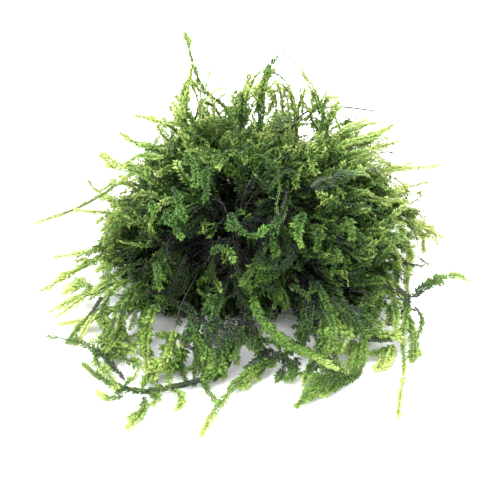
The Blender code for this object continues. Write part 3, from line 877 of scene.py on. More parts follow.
# Looser shoots that leave the mat between the long ones: habit, how much newer, and route
looseShoots = {
    "seed": 300,
    "freshFrom": 0.2,
    "newer": {"front_left": 0.04, "front_right": 0.05, "top": 0.03},
    "ownNewer": 0.6,  # how much of a shoot's own newness counts
    "freshTip": 0.3,
    "scatter": 0.06,
    "wander": 0.5,
    "wanderSize": 7,
    "wanderSeed": 70,
}
looseRoutes = {}
looseRoutes["front_left"] = [
    ("thin", -0.1, (-27.5, -1.5, 9), (-30.5, -2, 8), (-31.5, -6, 7.5), (-31, -9, 7)),
    ("leafy", 0.3, (-30.5, -9, 6.5), (-33.5, -9.5, 4.5), (-37, -10, 3), (-41.5, -13.5, 2)),
    ("lacy", 0.15, (-29.5, -19, 6), (-32, -19, 4.5), (-35.5, -16, 3.5), (-39, -17.5, 2.5)),
    ("lacy", 0.3, (-30, -21, 6), (-33.5, -21, 4.5), (-36.5, -22, 3), (-39.5, -24.5, 2)),
    ("rope", -0.15, (-30.5, -24, 6.5), (-31.5, -25.5, 4.5), (-33.5, -27, 2.5), (-36.5, -31.5, 1)),
    ("thin", 0.35, (-30.5, -25.5, 4.5), (-32, -28, 3.5), (-33.5, -31, 2.5), (-35, -33, 1.5)),
    ("lacy", 0.1, (-28.5, -24, 6.5), (-29.5, -26.5, 4.5), (-28.5, -29, 3), (-27, -34, 2)),
    ("lacy", 0.05, (-27.5, -30, 6), (-28.5, -33, 4.5), (-30.5, -34, 3), (-32, -33, 2)),
    ("lacy", 0.1, (-31.5, -34.5, 3), (-30, -38.5, 2.5), (-28, -42, 2), (-26, -45, 1.5)),
    ("thin", 0, (-29.5, -31, 3.5), (-29.5, -34.5, 2.5), (-28, -37.5, 2), (-26, -40.5, 1.5)),
    ("lacy", 0.1, (-26.5, -33, 3.5), (-25.5, -36.5, 2.5), (-23.5, -38.5, 2), (-21, -40, 1.5)),
    ("thin", -0.05, (-23.5, -26.5, 8), (-26, -28, 5.5), (-26, -31, 4), (-23.5, -34, 2)),
    ("lacy", 0.1, (-22, -26, 8), (-22, -29, 5.5), (-21.5, -32.5, 3.5), (-20.5, -36, 2)),
    ("thin", 0, (-20.5, -26.5, 8), (-21, -29.5, 6), (-22, -32.5, 4), (-24, -34, 2.5)),
    ("thin", 0.3, (-20, -35, 3), (-19, -37.5, 2.5), (-19.5, -41, 2), (-21, -44.5, 1.5)),
    ("lacy", 0.15, (-14.5, -33.5, 5), (-16, -36.5, 3.5), (-17.5, -39.5, 2.5), (-18.5, -43.5, 1.5)),
    ("thin", -0.15, (-15.5, -35.5, 5), (-14.5, -38.5, 3.5), (-13.5, -40.5, 2.5), (-12, -43.5, 1.5)),
    ("rope", -0.25, (-11, -39.5, 7), (-14, -36, 5.5), (-18, -33, 4)),
    ("lacy", 0.1, (-10.5, -35, 8), (-10, -37.5, 5.5), (-10, -40.5, 3), (-10.5, -43, 1.5)),
    ("lacy", 0.15, (-7.5, -35.5, 9), (-8.5, -37.5, 6), (-8, -40, 3.5), (-9, -43, 1.5)),
    ("lacy", 0.05, (-5.5, -37, 9), (-4.5, -39, 6), (-5.5, -41, 4), (-7.5, -43, 2)),
    ("lacy", 0, (-13, -29.5, 9), (-11.5, -31.5, 7.5), (-12, -35.5, 6), (-13.5, -37, 5)),
    ("thin", 0, (-3.5, -37, 9), (-2, -38.5, 6.5), (-3.5, -40.5, 5)),
    ("thin", 0.1, (-18.5, -26, 8), (-19.5, -28, 5.5), (-20.5, -31, 4), (-20, -34, 2.5)),
    ("leafy", 0.2, (-14.5, -45.5, 1.5), (-13, -47.5, 1.5), (-14, -49.5, 1)),
    ("leafy", 0.2, (-19.5, -46.5, 1.5), (-18, -48, 1.5), (-19, -49.5, 1)),
    ("lacy", 0.1, (-9, -34.5, 10), (-7.5, -38, 7.5), (-6.5, -41, 4.5), (-5, -43, 2)),
    ("lacy", 0, (-6.5, -34, 10), (-4.5, -36.5, 8), (-2.5, -38.5, 5.5), (-2, -40, 3.5)),
    ("lacy", 0.05, (-4.5, -34.5, 10), (-2.5, -36.5, 8.5), (-0.5, -37, 6.5), (1.5, -37, 5)),
    ("leafy", -0.05, (-2.5, -34, 10), (-0.5, -35.5, 8.5), (1.5, -36.5, 6.5), (2.5, -37, 5)),
    ("leafy", 0, (-11, -35, 9), (-9, -39, 6.5), (-7, -41.5, 4.5), (-7, -43.5, 2)),
    ("lacy", 0.05, (-7.5, -37, 8), (-5.5, -40, 6), (-6.5, -43, 4), (-8.5, -44, 2)),
    ("lacy", 0, (-12, -34.5, 9), (-10.5, -38, 7), (-9, -41, 4.5), (-8, -42.5, 2.5)),
    ("leafy", -0.1, (-1, -34, 11), (-1, -35, 8), (-2, -36.5, 5)),
    ("leafy", -0.1, (-4, -37, 9), (-3.5, -38, 7), (-4.5, -39, 5)),
    ("lacy", 0.2, (-28.5, -37, 3), (-27, -34.5, 3), (-25.5, -32, 2.5), (-23.5, -30.5, 2.5)),
    ("lacy", 0.15, (-30.5, -33.5, 4), (-28, -34.5, 3.5), (-25.5, -35.5, 3), (-23, -36, 2.5)),
    ("lacy", 0.25, (-26, -29.5, 4.5), (-26.5, -32.5, 4), (-28, -35, 3.5), (-29.5, -36.5, 3)),
    ("leafy", 0.1, (-24, -15.5, 8), (-27, -16.5, 7), (-29.5, -17.5, 6), (-32, -19, 5)),
    ("lacy", 0.1, (-24, -19, 8), (-26.5, -20, 7), (-28.5, -21.5, 6), (-30.5, -23, 5)),
    ("leafy", 0, (-23, -22, 9), (-24.5, -24.5, 7.5), (-25.5, -26, 6.5), (-27, -27.5, 5)),
    ("leafy", 0.05, (-24.5, -13.5, 9), (-27.5, -14.5, 8), (-29.5, -15, 7), (-31.5, -15, 6)),
    ("lacy", 0.1, (-21, -23.5, 8), (-22, -26.5, 6.5), (-23.5, -29, 5.5), (-24.5, -30.5, 4)),
    ("thin", 0.3, (-24, -45.5, 2), (-23, -43, 2), (-22.5, -40.5, 1.5)),
    ("leafy", 0.35, (-21, -47, 2), (-20, -43.5, 2), (-20, -40, 1.5), (-19.5, -36.5, 1.5)),
    ("lacy", 0.3, (-21, -36.5, 3), (-19.5, -39, 2.5), (-18.5, -41, 2.5), (-18, -43.5, 2)),
    ("leafy", 0.15, (-14.5, -34, 5), (-16, -37.5, 4), (-17, -40.5, 2.5), (-18.5, -43.5, 1.5)),
    ("leafy", 0.1, (-16, -35.5, 5), (-14.5, -38.5, 4), (-15, -42, 2.5), (-15.5, -45, 1.5)),
    ("leafy", 0.15, (-13.5, -36, 4), (-14, -38, 3), (-16.5, -41, 1.5)),
    ("thin", 0.3, (-9, -43, 1.5), (-8, -45.5, 1.5), (-7, -48, 1)),
]
looseRoutes["front_right"] = [
    ("lacy", 0.1, (10.5, -30, 12), (11.5, -32.5, 8.5), (12.5, -35, 6), (14, -38, 3.5)),
    ("lacy", 0, (13, -30.5, 12), (14, -33.5, 9), (14, -37, 7), (12.5, -39, 5)),
    ("lacy", 0.1, (15, -30, 12), (16.5, -32, 9), (17.5, -34.5, 6.5), (17, -37.5, 4.5)),
    ("lacy", 0, (18, -30, 11), (20, -32, 7.5), (20, -35.5, 4.5), (19, -39.5, 2)),
    ("lacy", 0, (20, -31, 10), (22, -33.5, 6.5), (21.5, -37.5, 4), (20, -41, 2)),
    ("thin", -0.1, (15.5, -34, 9), (18, -33.5, 7), (21, -33, 5.5), (23, -33.5, 4)),
    ("thin", 0, (12, -37.5, 6), (15, -37, 5), (17, -39.5, 4), (19.5, -43, 3)),
    ("fan", 0.1, (19.5, -42.5, 3), (16.5, -44, 2.5), (12.5, -46.5, 2), (9, -49.5, 1)),
    ("lacy", 0.1, (13.5, -40, 3.5), (11.5, -41, 2.5), (10, -42, 1.5)),
    ("lacy", 0, (5, -39, 5), (3.5, -38.5, 4), (1, -40, 3), (-0.5, -42.5, 2)),
    ("lacy", 0.1, (6.5, -39, 3.5), (6.5, -40.5, 2.5), (5, -43.5, 1.5)),
    ("lacy", 0.1, (9, -38.5, 3.5), (8.5, -40.5, 2.5), (8, -43, 1.5)),
    ("lacy", 0.1, (2.5, -40, 3), (1.5, -41.5, 2), (-1, -44, 1.5)),
    ("bare", 0, (3.5, -37, 12), (5.5, -37, 12), (7.5, -37, 12)),
    ("lacy", 0, (20, -32, 9), (22.5, -31, 8), (24.5, -31, 7), (26.5, -31, 6)),
    ("lacy", 0.1, (0, -34.5, 7), (2.5, -37, 6), (4, -35.5, 5), (6, -35.5, 4)),
    ("leafy", 0.2, (3.5, -39.5, 3), (1.5, -41.5, 2.5), (-0.5, -43, 2), (-1.5, -44.5, 1.5)),
    ("leafy", 0.2, (7, -39.5, 4), (8, -41.5, 2.5), (7, -43, 1.5)),
    ("leafy", 0.1, (11.5, -40, 3.5), (11, -42, 2.5), (10, -43, 1.5)),
    ("leafy", 0.05, (11.5, -30, 13), (12, -33.5, 10.5), (11.5, -36, 8.5), (10, -37.5, 6)),
    ("leafy", 0.05, (14, -31.5, 12), (15.5, -35.5, 10), (16, -39.5, 8), (14.5, -41, 6)),
    ("lacy", 0, (16, -30.5, 12), (18.5, -34, 9.5), (18.5, -37, 7.5), (17.5, -39, 5)),
    ("leafy", 0.1, (22, -41.5, 2), (19.5, -44, 2), (16.5, -46, 1.5), (14, -47.5, 1.5)),
]
looseRoutes["right"] = [
    ("leafy", 0.1, (23.5, 2.5, 18), (28, 6.5, 14), (30.5, 5.5, 11), (32.5, 2.5, 8)),
    ("broad", 0.2, (30.5, -0.5, 14), (33.5, 0.5, 9), (36.5, 0.5, 5.5), (38, -3, 2.5)),
    ("broad", 0.3, (32, 0, 12), (35.5, 1, 8), (39, 0.5, 5), (41, -1, 2)),
    ("lacy", 0.1, (33.5, 1, 6), (34, -2.5, 5), (34.5, -6.5, 4.5), (33, -10, 4)),
    ("thin", 0.2, (35, -5, 4), (34, -10.5, 4.5), (33, -16.5, 5), (32.5, -22, 5.5)),
    ("lacy", 0, (25, -16, 9), (27, -19, 8), (29, -21, 7), (31, -23.5, 6.5)),
    ("rope", -0.3, (24, -20, 9), (27.5, -22, 8), (29.5, -24.5, 7), (31, -26, 6.5)),
    ("wiry", -0.3, (26, -21, 8.5), (29.5, -23, 7.5), (32, -23.5, 6.5), (34, -23, 6.5)),
    ("wiry", -0.3, (27, -20, 7.5), (30, -23, 6.5), (32, -24.5, 5.5), (34, -25.5, 4.5)),
    ("rope", -0.3, (30, -22.5, 7), (32, -24, 6.5), (31.5, -26, 5.5), (32.5, -28.5, 4)),
    ("bare", 0, (20, -24.5, 9), (24, -25, 8), (27.5, -24.5, 7), (31.5, -24, 6)),
    ("lacy", 0.1, (30, -23.5, 6), (29, -26, 5), (28.5, -29, 4), (29, -30.5, 3.5)),
    ("rope", -0.1, (32, -24, 5), (31.5, -26.5, 4), (32.5, -29, 3), (33.5, -30, 2)),
    ("leafy", 0.3, (31, -29.5, 2.5), (32.5, -30, 2), (32.5, -33, 1.5), (32, -36, 1)),
    ("bare", 0, (23, -29, 7), (25.5, -29.5, 5.5), (27.5, -30, 4.5), (30, -29.5, 3.5)),
    ("lacy", 0.2, (23, -33.5, 6), (26, -32, 5), (28.5, -32, 4), (30, -32.5, 3)),
    ("rope", -0.1, (23.5, -34, 4), (26.5, -33.5, 3.5), (28.5, -32, 3), (30.5, -30, 2.5)),
    ("leafy", 0.25, (28.5, -34.5, 2), (28, -36, 1.5), (26.5, -38, 1)),
    ("leafy", 0.25, (26, -35.5, 2), (25.5, -37.5, 1.5), (24.5, -38.5, 1)),
    ("lacy", 0, (26.5, -25.5, 7), (26, -27, 5.5), (24.5, -29, 4), (23.5, -31.5, 3)),
    ("thin", 0.1, (24.5, 8.5, 16), (27.5, 11.5, 15), (31.5, 13.5, 14)),
    ("leafy", 0.3, (29.5, 3.5, 12), (32.5, 8, 9.5), (35, 12.5, 8)),
    ("lacy", 0.2, (32.5, -1.5, 10), (35.5, -2.5, 7.5), (38, -2.5, 5.5), (40.5, -1.5, 3)),
    ("leafy", 0.2, (33, -1, 11), (36, -1.5, 8.5), (39, -1.5, 6.5), (40.5, -1, 4)),
    ("leafy", 0.1, (29, -5.5, 8), (30.5, -9, 7), (31, -13, 6), (31, -17, 5)),
    ("leafy", 0.05, (29.5, -25, 7), (30, -28, 6), (29, -31.5, 5)),
]
looseRoutes["left"] = [
    ("bare", -0.08, (-14, -5, 21), (-18.5, -4, 22), (-22.5, -3, 22.5), (-28.5, -2, 24)),
    ("leafy", 0.17, (-18, -3, 27), (-23, -2, 26.5), (-26.5, -1, 24), (-30.5, 0, 24.5)),
    ("thin", -0.08, (-13.5, 3, 25), (-17, 3.5, 26.5), (-19, 4, 30)),
    ("leafy", 0.07, (-15.5, 1, 27), (-20.5, 1.5, 26.5), (-23.5, 2, 26)),
    ("leafy", 0.12, (-11.5, 3, 27.5), (-14.5, 4, 29.5), (-18, 5, 30), (-20.5, 6, 30.5)),
    ("leafy", 0.12, (-23.5, 0, 16), (-26, 0.5, 17.5), (-28, 1, 18.5)),
    ("leafy", 0.17, (-24.5, -3, 14), (-27.5, -2, 14), (-30.5, -1, 15.5)),
    ("leafy", 0.12, (-25, -4, 12.5), (-29.5, -3.5, 12), (-32.5, -3, 10)),
    ("leafy", 0.12, (-26, -6, 11), (-29, -6, 11), (-31.5, -6, 10.5)),
    ("leafy", 0.07, (-25.5, -10, 12.5), (-26.5, -9.5, 8), (-27.5, -9, 4)),
    ("leafy", 0.12, (-24.5, -12, 9), (-27.5, -12, 7), (-30.5, -12, 4.5)),
    ("leafy", 0.12, (-21, -2, 23), (-24.5, -1.5, 21), (-28, -1, 18.5)),
]
looseRoutes["top"] = [
    ("leafy", 0.18, (-11.5, 5, 29.5), (-13, 6.5, 33.5), (-13, 7.5, 38), (-12, 9, 41)),
    ("leafy", 0.08, (-11.5, 8, 28.5), (-10, 9, 32), (-10.5, 10, 34.5), (-12, 11, 36)),
    ("leafy", -0.02, (-6, 9, 28.5), (-8, 10, 31.5), (-10, 11, 32.5)),
    ("leafy", -0.02, (-4, 12, 25), (-4.5, 13.5, 27.5), (-2.5, 15, 28.5)),
    ("leafy", 0.13, (-0.5, 11, 27.5), (-0.5, 11.5, 31.5), (0.5, 12.5, 34.5), (2, 13, 37)),
    ("thin", 0.08, (1.5, 10, 29.5), (2.5, 10.5, 34), (4, 11.5, 37), (4, 12, 39.5)),
    ("thin", -0.02, (4, 12, 39.5), (6, 10.5, 38.5), (7.5, 9.5, 36.5), (8.5, 8, 34)),
    ("leafy", 0.08, (5.5, 9, 28.5), (5, 10, 32), (4, 11, 34.5), (5, 12, 36)),
    ("leafy", 0.08, (8.5, 8, 28.5), (8, 9, 32), (6.5, 10, 34), (7.5, 11, 35.5)),
    ("leafy", 0.13, (10, 8, 29.5), (10.5, 9, 32.5), (11.5, 10, 34.5)),
    ("leafy", 0.03, (13, 7, 29), (12.5, 7.5, 32), (11.5, 8.5, 34), (12, 9, 36)),
    ("thin", -0.02, (16.5, 7, 24), (16.5, 7.5, 27.5), (16, 8, 30.5)),
    ("leafy", 0.18, (15, 8, 30.5), (16, 9, 32.5), (18.5, 10, 33)),
    ("leafy", 0.08, (13.5, 7, 21.5), (16.5, 7.5, 23.5), (18.5, 8, 24.5), (22, 8.5, 26), (24.5, 9, 27)),
    ("leafy", -0.02, (15.5, 5, 21), (20, 6, 23.5), (24, 6.5, 23), (27, 7.5, 25), (30, 8, 27)),
    ("leafy", 0.08, (17, 6, 22.5), (20.5, 6.5, 24.5), (23.5, 7.5, 24.5), (26, 8, 26)),
    ("leafy", -0.02, (17, 3, 20), (21.5, 3.5, 21.5), (24, 4.5, 22), (24.5, 5, 18.5)),
    ("thin", 0.08, (6.5, 12, 27), (9, 13, 29), (10.5, 14, 31)),
    ("leafy", 0.23, (-10, 7, 30), (-9.5, 8.5, 32.5), (-8, 9.5, 34.5), (-6, 11, 34.5)),
    ("leafy", 0.23, (-9.5, 9, 34.5), (-9.5, 9.5, 36.5), (-8.5, 10, 39)),
    ("leafy", 0.23, (-12.5, 8, 33), (-13.5, 8.5, 35.5), (-13, 9, 38)),
    ("leafy", 0.18, (-14, 4, 30.5), (-15, 5, 32.5), (-16, 6, 34)),
    ("leafy", 0.18, (-13, 5, 29), (-14, 6, 32), (-14, 7, 34.5)),
    ("leafy", 0.18, (-7.5, 8, 29), (-7, 9, 31.5), (-7.5, 10, 33)),
    ("leafy", 0.18, (-2, 12, 27.5), (-2, 13, 31), (-0.5, 14, 33.5), (0, 15, 35.5)),
    ("leafy", 0.18, (0.5, 9, 29.5), (1.5, 10, 33), (2.5, 11, 35.5), (4, 12, 37.5)),
    ("leafy", 0.18, (3.5, 9, 30), (4, 9.5, 34), (3.5, 10.5, 36.5), (4.5, 11, 37.5)),
    ("leafy", 0.18, (7, 9, 29.5), (6, 9.5, 33), (5.5, 10, 36.5)),
    ("leafy", 0.18, (2.5, 8, 32), (0.5, 9, 34), (-0.5, 10, 35.5)),
    ("leafy", 0.18, (9.5, 8, 29.5), (9.5, 9, 32.5), (8, 10, 35)),
    ("leafy", 0.23, (14.5, 8, 29.5), (14, 9.5, 32.5), (12.5, 10.5, 35), (11, 12, 37)),
    ("leafy", 0.23, (15, 8, 29), (15, 8.5, 32), (16.5, 9, 34.5)),
    ("leafy", 0.18, (13, 8, 30), (11, 9, 33), (10.5, 10, 35)),
    ("leafy", 0.23, (16, 7, 27.5), (17, 7.5, 30.5), (18.5, 8, 32.5)),
    ("leafy", 0.23, (14.5, 7, 23.5), (18.5, 7.5, 25), (21.5, 8.5, 27), (24.5, 9, 28)),
    ("leafy", 0.23, (18, 6, 22), (21.5, 6.5, 23.5), (24.5, 7.5, 24.5), (28.5, 8, 26)),
    ("leafy", 0.23, (20.5, 5, 20), (24, 5.5, 21.5), (28, 6.5, 22.5), (31.5, 7, 24)),
    ("lacy", 0.2, (-9.5, 8, 29), (-10.5, 9, 32.5), (-12, 10, 35.5), (-13, 11, 38)),
    ("lacy", 0.1, (9.5, 7, 28.5), (12, 7.5, 29.5), (14, 8.5, 28.5), (16, 9, 26)),
    ("lacy", 0.1, (10.5, 6, 23.5), (13.5, 7, 24), (15.5, 8, 26), (15.5, 9, 29)),
    ("leafy", 0.15, (10, 8, 27), (11, 9.5, 29.5), (10.5, 11, 32.5)),
    ("leafy", 0.15, (14.5, 8, 26), (13, 9.5, 28.5), (14.5, 11, 31)),
    ("leafy", 0.2, (17, 8, 26.5), (15.5, 9, 28.5), (16, 10, 31)),
    ("leafy", 0.15, (7, 9, 30), (6.5, 10.5, 32.5), (7, 12, 34)),
    ("leafy", 0.15, (2.5, 9, 31), (1.5, 10.5, 33), (2.5, 12, 34.5)),
    ("leafy", 0.1, (-2.5, 10, 29.5), (-3, 11, 32), (-1.5, 12, 32.5)),
    ("leafy", 0.15, (-8, 10, 29.5), (-7, 11, 31.5), (-5.5, 12, 32)),
    ("leafy", 0.2, (20, 8, 25.5), (18.5, 9, 27.5), (17, 10, 29.5)),
    ("leafy", 0.1, (12, 9, 28), (13.5, 10.5, 30), (13, 12, 32)),
    ("leafy", 0.1, (5, 9, 32), (4, 10.5, 33.5), (5.5, 12, 34.5)),
]
looseRoutes["crown"] = [
    (
        "frond", 0.08, (-4, -20.5, 25), (-2.5, -23.5, 24), (-0.5, -25.5, 23.5), (1.5, -26, 23.5),
        (3, -25, 24.5),
    ),
    ("frond", 0.05, (5.5, -21, 25.5), (5.5, -23, 24.5), (5, -25, 23.5), (5, -26, 22)),
    ("wire", 0.05, (5.5, -7, 28.5), (5.5, -13.5, 28.5), (5.5, -18.5, 27), (5.5, -21.5, 25)),
    ("frond", 0.1, (10, -20, 25), (9.5, -23, 24.5), (9.5, -25, 23), (10, -26, 21.5)),
    ("frond", 0.05, (13, -21.5, 22.5), (13.5, -24.5, 22), (13, -26, 20.5)),
    ("frond", 0, (-8.5, -9.5, 28.5), (-9, -13.5, 28.5), (-8.5, -16.5, 27.5), (-9, -18.5, 26)),
    ("frond", 0, (-13, -4, 28.5), (-12, -8.5, 29), (-11, -11.5, 28.5), (-11, -14.5, 27.5)),
    ("frond", 0, (-3.5, -4.5, 29.5), (-5, -8, 30), (-6, -10, 29)),
    ("frond", 0.05, (-17.5, -16.5, 23.5), (-16.5, -20, 23.5), (-14.5, -22, 23), (-13, -23.5, 22)),
    ("frond", 0.05, (-15.5, -13, 26), (-14.5, -16.5, 25.5), (-13.5, -19, 25), (-12.5, -20.5, 24)),
    ("frond", 0.1, (-7.5, -26.5, 20), (-6, -27, 21.5), (-4, -28, 22), (-3, -29, 21)),
    ("frond", 0.1, (4.5, -28, 19), (3, -30, 19), (2, -31, 18), (1.5, -31.5, 16)),
    ("frond", 0.05, (-1.5, -29.5, 17), (-0.5, -32, 16.5), (0.5, -32, 14.5)),
    ("frond", 0, (18.5, -4, 24), (17.5, -10, 25.5), (17.5, -14, 24.5)),
    ("frond", 0, (7, -9, 28), (8.5, -12, 28.5), (9, -14, 27.5)),
    ("frond", 0.05, (-20, -14, 23.5), (-19.5, -17.5, 23.5), (-20, -19.5, 21.5)),
    ("frond", 0.1, (-19, -25, 16.5), (-18, -28, 15.5), (-18, -28.5, 13)),
    ("frond", 0, (16, -24.5, 19.5), (17, -27, 19), (16.5, -28.5, 17)),
    ("frond", 0, (19, -17, 22), (20.5, -20, 21.5), (20, -22, 20.5)),
    ("frond", 0.05, (-16, -28.5, 10), (-14.5, -29.5, 8.5), (-12, -29.5, 7.5)),
    ("frond", 0.05, (-7.5, -30.5, 12.5), (-8.5, -32, 11.5), (-9.5, -32, 9.5)),
    ("frond", 0.05, (8, -30.5, 15), (9.5, -32.5, 15), (11, -32, 12.5)),
    ("frond", -0.05, (0, -0.5, 29.5), (-1, -6, 30), (-0.5, -9.5, 29.5)),
    ("frond", -0.05, (14, 1, 26), (12.5, -5.5, 27.5), (13, -9, 27)),
    (
        "rope", -0.08, (12.5, -16.5, 28.5), (14.5, -14.5, 28.5), (17.5, -12, 28), (20, -9, 27),
        (22.5, -6.5, 25.5), (24.5, -5, 23),
    ),
    (
        "leafy", -0.2, (13.5, -16.5, 28), (15.5, -15, 28), (18, -11.5, 27.5), (21.5, -7, 26),
        (24, -3.5, 24),
    ),
    (
        "wiry", 0, (23, -5, 24.5), (26.5, -2.5, 22.5), (28.5, -2, 20), (29.5, -2.5, 17.5),
        (30.5, -3, 14.5),
    ),
]

for number, (side, shoots) in enumerate(looseRoutes.items()):
    chooser = np.random.default_rng(looseShoots["seed"] + number)
    pile = Pile()
    for habit, newer, *route in shoots:
        line = smoothLine(route)
        wander = flow(line, looseShoots["wanderSize"], looseShoots["wanderSeed"])
        line = line + looseShoots["wander"] * wander
        start = looseShoots["freshFrom"] + looseShoots["newer"].get(side, 0)
        start = start + looseShoots["ownNewer"] * newer + chooser.normal(0, looseShoots["scatter"])
        growShoot(pile, line, None, habits[habit], (start, looseShoots["freshTip"]), chooser)
    addPiece("moss_mat_loose_" + side, pile, ribbedLeaf, roundStem, ["moss_mat"])
    print("loose shoots,", side, triangles["moss_mat_loose_" + side], "triangles")

# The mound that the mat covers, the same size as its solid
mound = {
    "centre": (0, -2, 10),
    "halfWidth": 30,
    "halfDepth": 28,
    "rise": 18.5,
    "sink": 14,
    # the way from the centre, and how far the mound swells out there
    "swellings": [
        ((22, -21, -3), 5), ((-23, -17, -3), 4.5), ((-28, 2, 3), -4), ((-20, 8, 14), -2),
        ((12, 8, 15), 1.5), ((0, 25, 2), 2),
    ],
    "swellingSpread": 0.35,
    "crownAbove": 11,  # of the centre
    "sideways": 1.4,  # this much further to a side than to the front counts as that side
}
# How the shoots of the mat, all of them, find their way
growing = {
    "rootsAbove": 1.2,
    "spare": 3,  # roots tried for each that is kept
    "furthest": (1.02, 1.32),  # where the shoots end, of the way from the centre to the surface
    "fewFar": 1.7,  # the higher, the fewer of them end far out
    "parting": (0, -14, 25),  # the shoots lean away from here
    "leaning": 0.4,
    "flowing": 0.75,
    "flowSize": 22,
    "flowSeed": 40,
    "drooping": 0.2,
    "headingScatter": 0.18,
    "wander": 0.16,
    "wanderSize": 9,
    "wanderSeed": 50,
    "sag": 0.025,
    "holding": 1.5,  # how strongly a shoot that leaves the surface turns back
    "lowest": 0.9,
    "levelling": 0.3,  # how much of its slope is left to a shoot that has met the floor
    "fewestSteps": 4,
}
# Two numbers are a least and a most
mat = {
    "shoots": 1880,
    "seed": 4,
    "depths": (0.5, 0.93),  # of the roots, 1 on the surface
    "lengths": (7, 19),
    "lean": (0.1, 1.1),  # outwards
    "hug": 0.8,  # how closely it keeps to the surface
    "fewestPoints": 5,
    "freshFrom": 0.16,
    "freshTip": 0.4,
    "scatter": 0.08,
    "facingScatter": 0.45,
    "leafless": (0.58, 0.74),  # depth where the first and all of the leaves grow
    "innerLeaves": 0.2,
}
# Dark hollows between the shoots, all going the same way in: where each starts, and how wide it is
hollowWay = (0, 6, -5)
hollowStarts = [
    (-17, -22.5, 22.5, 2.3), (-10.5, -26.5, 22, 2.7), (-15.5, -27.5, 18.5, 1.2), (-0.5, -27.5, 22.5, 2),
    (-5.5, -30, 18.5, 2), (-10.5, -30.5, 15.5, 1.6), (-10, -32, 10.5, 1.2), (-3, -32.5, 11.5, 2),
    (1, -20.5, 27, 1.6), (-2.5, -15, 29, 1.2), (12, -19, 26, 1.6), (15, -16.5, 26, 1.2),
    (19, -30, 13.5, 1.2),
]
hollows = [(start, np.add(start, hollowWay), radius) for *start, radius in hollowStarts]
# Places to see the floor through: from, to, and how wide
clearings = [
    ((8, -40, 13.5), (8.5, -23.5, -1), 3), ((2, -25, 0), (13, -25, 0), 4),
    ((-24, -27, 0), (-6, -27, 0), 3.5), ((11.5, 0, 31), (13, 32.5, 9), 2.1),
    ((30.5, -11, 14), (33, 9, -1), 1.5), ((3.5, 0, 33.5), (4, 49, 2), 1.1), ((1, 0, 36), (1, 53.5, 2), 0.8),
    ((-6, 0, 35.5), (-7.5, 52.5, 2), 0.9), ((-11.5, 0, 34), (-13.5, 50, 2), 1),
    ((-0.5, 0, 32), (-0.5, 46.5, 2), 0.7), ((13.5, 0, 28.5), (16, 40.5, 2), 0.8),
    ((-14.5, 0, 15), (-15.5, 18.5, 2), 0.8), ((-3.5, 0, 37.5), (-4.5, 57, 2), 0.8),
    ((6, 0, 37.5), (7.5, 57, 2), 0.8), ((20.5, 8, 30.5), (23, 34, 14), 1.3),
]
matHabit = dict(
    baseHabit, leafStep=0.42, leafLength=1.15, leafWidth=0.5, onTop=0.15, stemDarker=0.12, budLeaves=3,
    stemRadius=0.13, segment=2.6, branchStep=9, branchLength=3.4,
    branch={"leafLength": 1.05, "stemRadius": 0.09, "budLeaves": 3},
)


def moundAxes(way):
    height = np.where(way[:, 2] > 0, mound["rise"], mound["sink"])
    width, depth = np.full(len(way), mound["halfWidth"]), np.full(len(way), mound["halfDepth"])
    return np.column_stack([width, depth, height])


def swellingAt(way):
    # how far the mound swells out along each unit way of the squashed ball
    swell = np.zeros(len(way))
    for middle, out in mound["swellings"]:
        turned = np.arccos(np.clip(way @ unit(np.array(middle, float)), -1, 1))
        turned = turned / (math.pi / 2 * mound["swellingSpread"])
        swell += out * np.exp(-(turned**2))
    return swell


def depthOf(points):
    # 1 on the surface of the mound and less inside it, with the way out at each point
    offset = points - np.array(mound["centre"])
    axes = moundAxes(offset)
    squashed = offset / axes
    size = np.linalg.norm(squashed, axis=1)
    swell = swellingAt(unit(squashed))
    return size / (1 + swell / np.linalg.norm(unit(squashed) * axes, axis=1)), unit(squashed / axes)


def matPaths(sort):
    # where the mat's shoots of one sort grow: as many lines, and the chooser that goes on with them
    chooser = np.random.default_rng(sort["seed"])
    way = unit(chooser.normal(size=(sort["shoots"] * growing["spare"], 3)))
    depth = chooser.uniform(*sort["depths"], len(way))
    surface = way * moundAxes(way) + way * swellingAt(way)[:, None]
    root = np.array(mound["centre"]) + surface * depth[:, None]
    root = root[root[:, 2] > growing["rootsAbove"]][:sort["shoots"]]
    count = len(root)
    length = chooser.uniform(*sort["lengths"], count)
    _, out = depthOf(root)
    outward = chooser.uniform(*sort["lean"], count)[:, None]
    down = np.array((0, 0, -1)) - out * -out[:, 2:3]
    heading = out * outward + growing["leaning"] * unit(root - np.array(growing["parting"]))
    heading = heading + growing["flowing"] * flow(root, growing["flowSize"], growing["flowSeed"])
    heading = heading + growing["drooping"] * unit(down)
    heading = unit(heading + chooser.normal(0, growing["headingScatter"], (count, 3)))
    nearest, most = growing["furthest"]
    furthest = nearest + (most - nearest) * chooser.random(count) ** growing["fewFar"]
    here = root.copy()
    stops = [root.copy()]
    depths = [depthOf(root)[0]]
    for _ in range(int(max(sort["lengths"]))):
        depth, out = depthOf(here)
        wander = flow(here, growing["wanderSize"], growing["wanderSeed"])
        heading = heading + growing["wander"] * wander + np.array((0, 0, -growing["sag"]))
        turnBack = sort["hug"] * np.clip(depth - 1, 0, 1) * growing["holding"]
        heading = unit(heading - out * turnBack[:, None])
        here = here + heading
        under = here[:, 2] < growing["lowest"]
        here[under, 2] = growing["lowest"]
        heading[under, 2] = np.abs(heading[under, 2]) * growing["levelling"]
        stops.append(here.copy())
        depths.append(depthOf(here)[0])
    stops = np.stack(stops, axis=1)
    depths = np.stack(depths, axis=1)
    paths = []
    for i in range(count):
        last = int(length[i]) + 1
        beyond = np.nonzero(depths[i] > furthest[i])[0]
        if len(beyond):
            last = min(last, beyond[0])
        if last >= growing["fewestSteps"]:
            paths.append(stops[i, : last + 1])
    return paths, chooser


